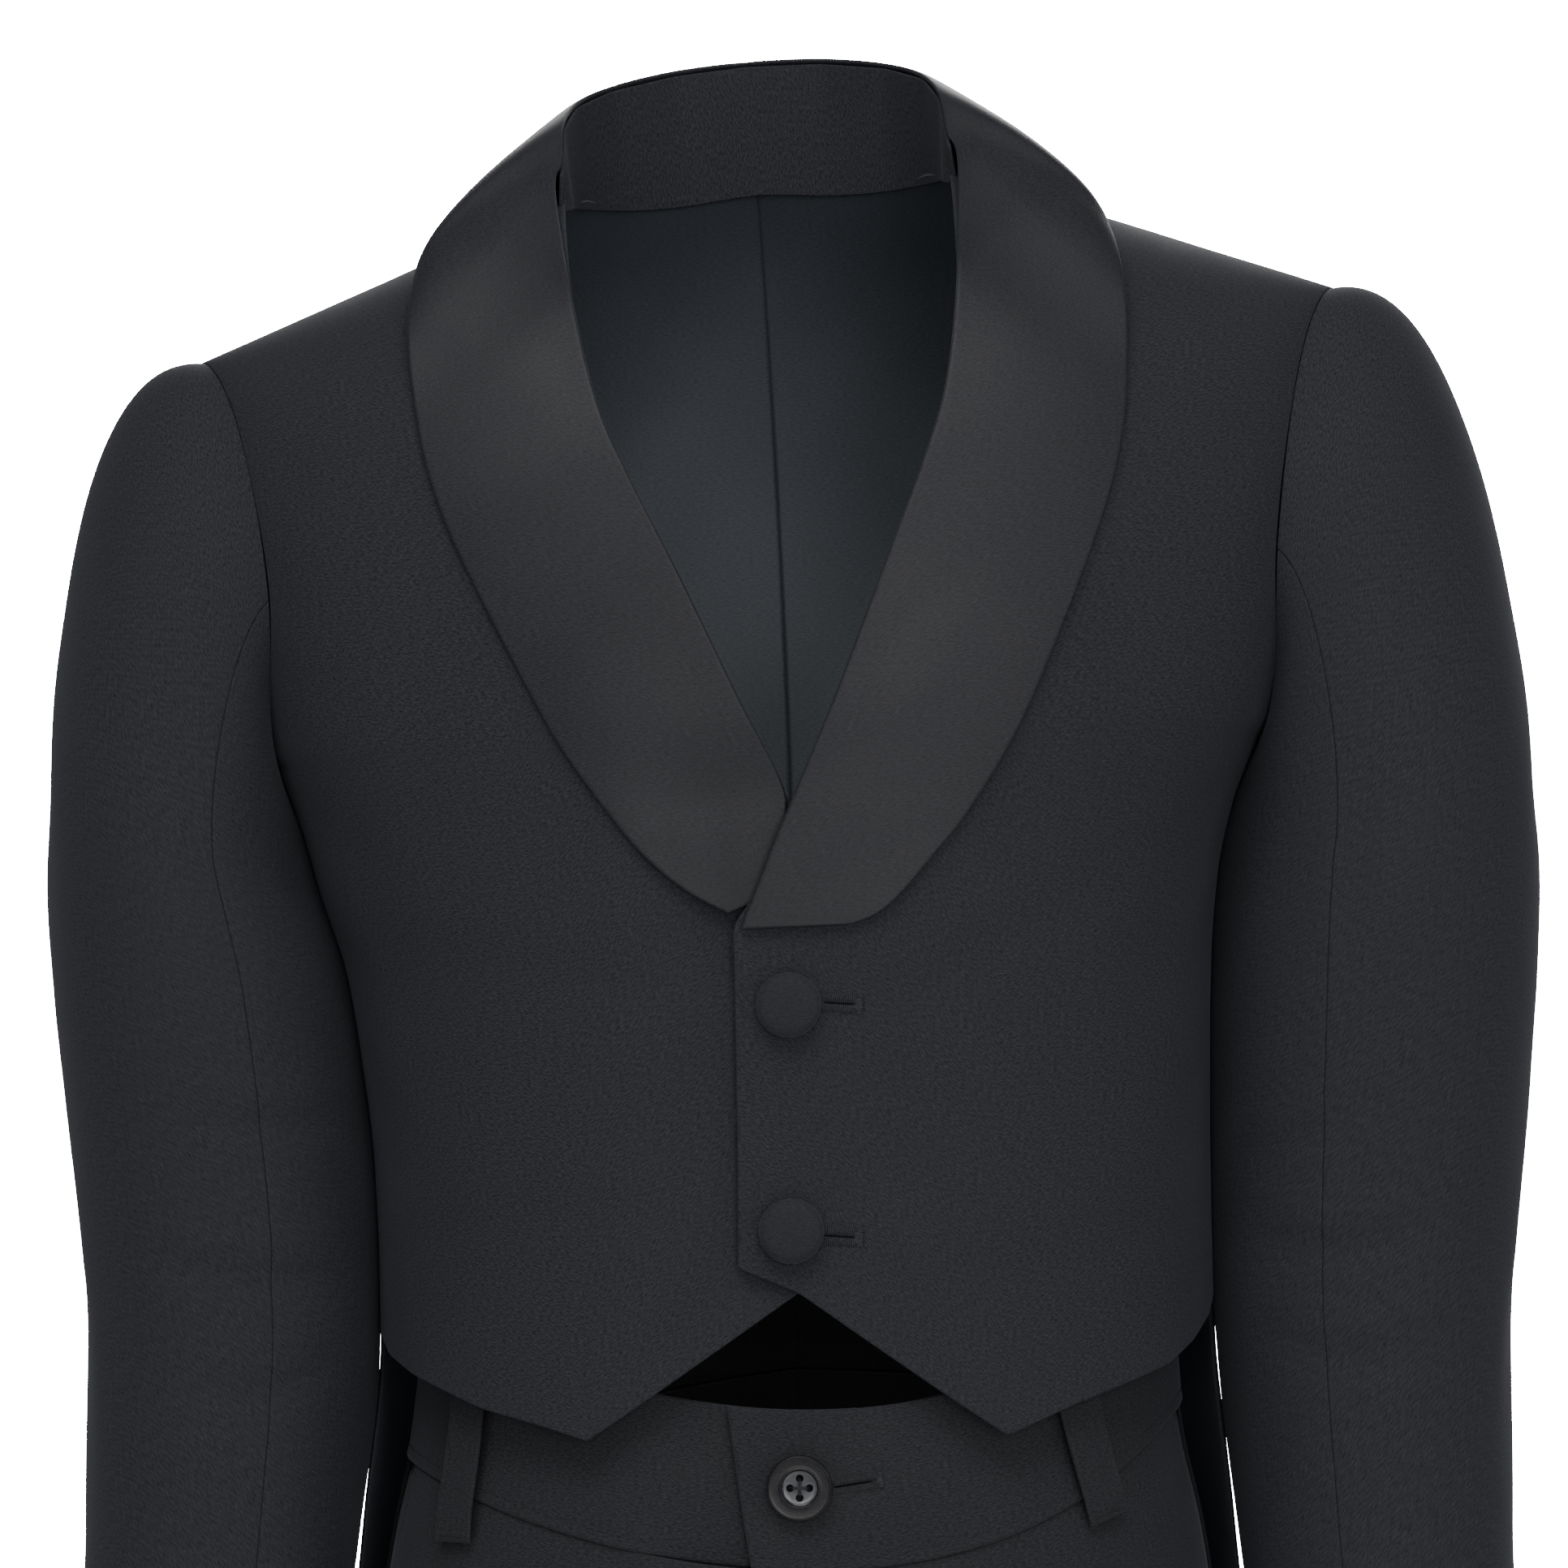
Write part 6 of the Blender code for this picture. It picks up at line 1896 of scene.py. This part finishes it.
# Lamps, in metres and watts
Lamp = namedtuple("Lamp", "name place aim size watts")
LAMPS = (
    Lamp("overhead_softbox", (-0.25, -1.3, 1.8), (0.0, 0.0, -0.12), (2.2, 1.2), 50.0),
    Lamp("front_softbox", (0.8, -2.9, 0.2), (0.0, 0.0, -0.3), (1.2, 1.2), 27.0),
    Lamp("low_softbox", (-0.3, -3.3, 0.1), (0.0, 0.0, -0.3), (0.7, 0.6), 10.0),
    Lamp("left_softbox", (-2.0, -1.6, 0.3), (0.0, 0.0, -0.2), (1.0, 1.6), 3.5),
    Lamp("right_softbox", (2.1, -1.2, 0.3), (0.0, 0.0, -0.2), (1.0, 1.6), 7.0),
    Lamp("back_softbox", (0.3, 2.4, 1.2), (0.0, 0.0, -0.3), (2.0, 1.4), 60.0),
)


def make_studio():
    floor_z = (TROUSER_HEM_Z - 2.0) * MM
    builder = bmesh.new()
    bmesh.ops.create_circle(builder, cap_ends=True, segments=96, radius=FLOOR_RADIUS,
                            matrix=Matrix.Translation((0.0, 0.0, floor_z)))
    mesh = new_mesh("studio_floor", builder)
    finish = pale_finish("pale floor", (0.9, 0.9, 0.9), *FLOOR_GLOW)
    object_from("studio_floor", mesh, (finish,))
    world = bpy.data.worlds.new("studio")
    bpy.context.scene.world = world
    world.use_nodes = True
    n = Nodes(world.node_tree)
    seen = n.add("ShaderNodeLightPath").outputs["Is Camera Ray"]
    background = world.node_tree.nodes["Background"]
    background.inputs["Color"].default_value = (1.0, 1.0, 1.0, 1.0)
    n.put(background.inputs["Strength"], n.spread(seen, 0.0, 1.0, WORLD_STRENGTH, WORLD_SEEN))
    for row in LAMPS:
        light = bpy.data.lights.new(row.name, "AREA")
        light.shape = "RECTANGLE"
        light.size, light.size_y = row.size
        light.energy = row.watts
        lamp = bpy.data.objects.new(row.name, light)
        bpy.context.scene.collection.objects.link(lamp)
        lamp.location = row.place
        way = Vector(row.aim) - Vector(row.place)
        lamp.rotation_euler = way.to_track_quat("-Z", "Y").to_euler()
    camera = bpy.data.objects.new("camera", bpy.data.cameras.new("camera"))
    bpy.context.scene.collection.objects.link(camera)
    camera.location = (CAMERA_X * MM, (FOCUS_Y - CAMERA_AWAY) * MM, CAMERA_Z * MM)
    camera.rotation_euler = (math.radians(90.0), 0.0, 0.0)
    camera.data.sensor_width = SENSOR_MM
    camera.data.lens = SENSOR_MM * CAMERA_AWAY / PHOTO_MM
    camera.data.clip_end = 50.0
    bpy.context.scene.camera = camera


fronts = make_fronts()
backs = make_backs()
make_sleeves()
collar = make_collar()
make_covered_buttons()
legs = make_legs()
bands = make_band()
make_trouser_button()
sew_coat(fronts, backs, collar)
sew_trousers(legs, bands)
make_studio()
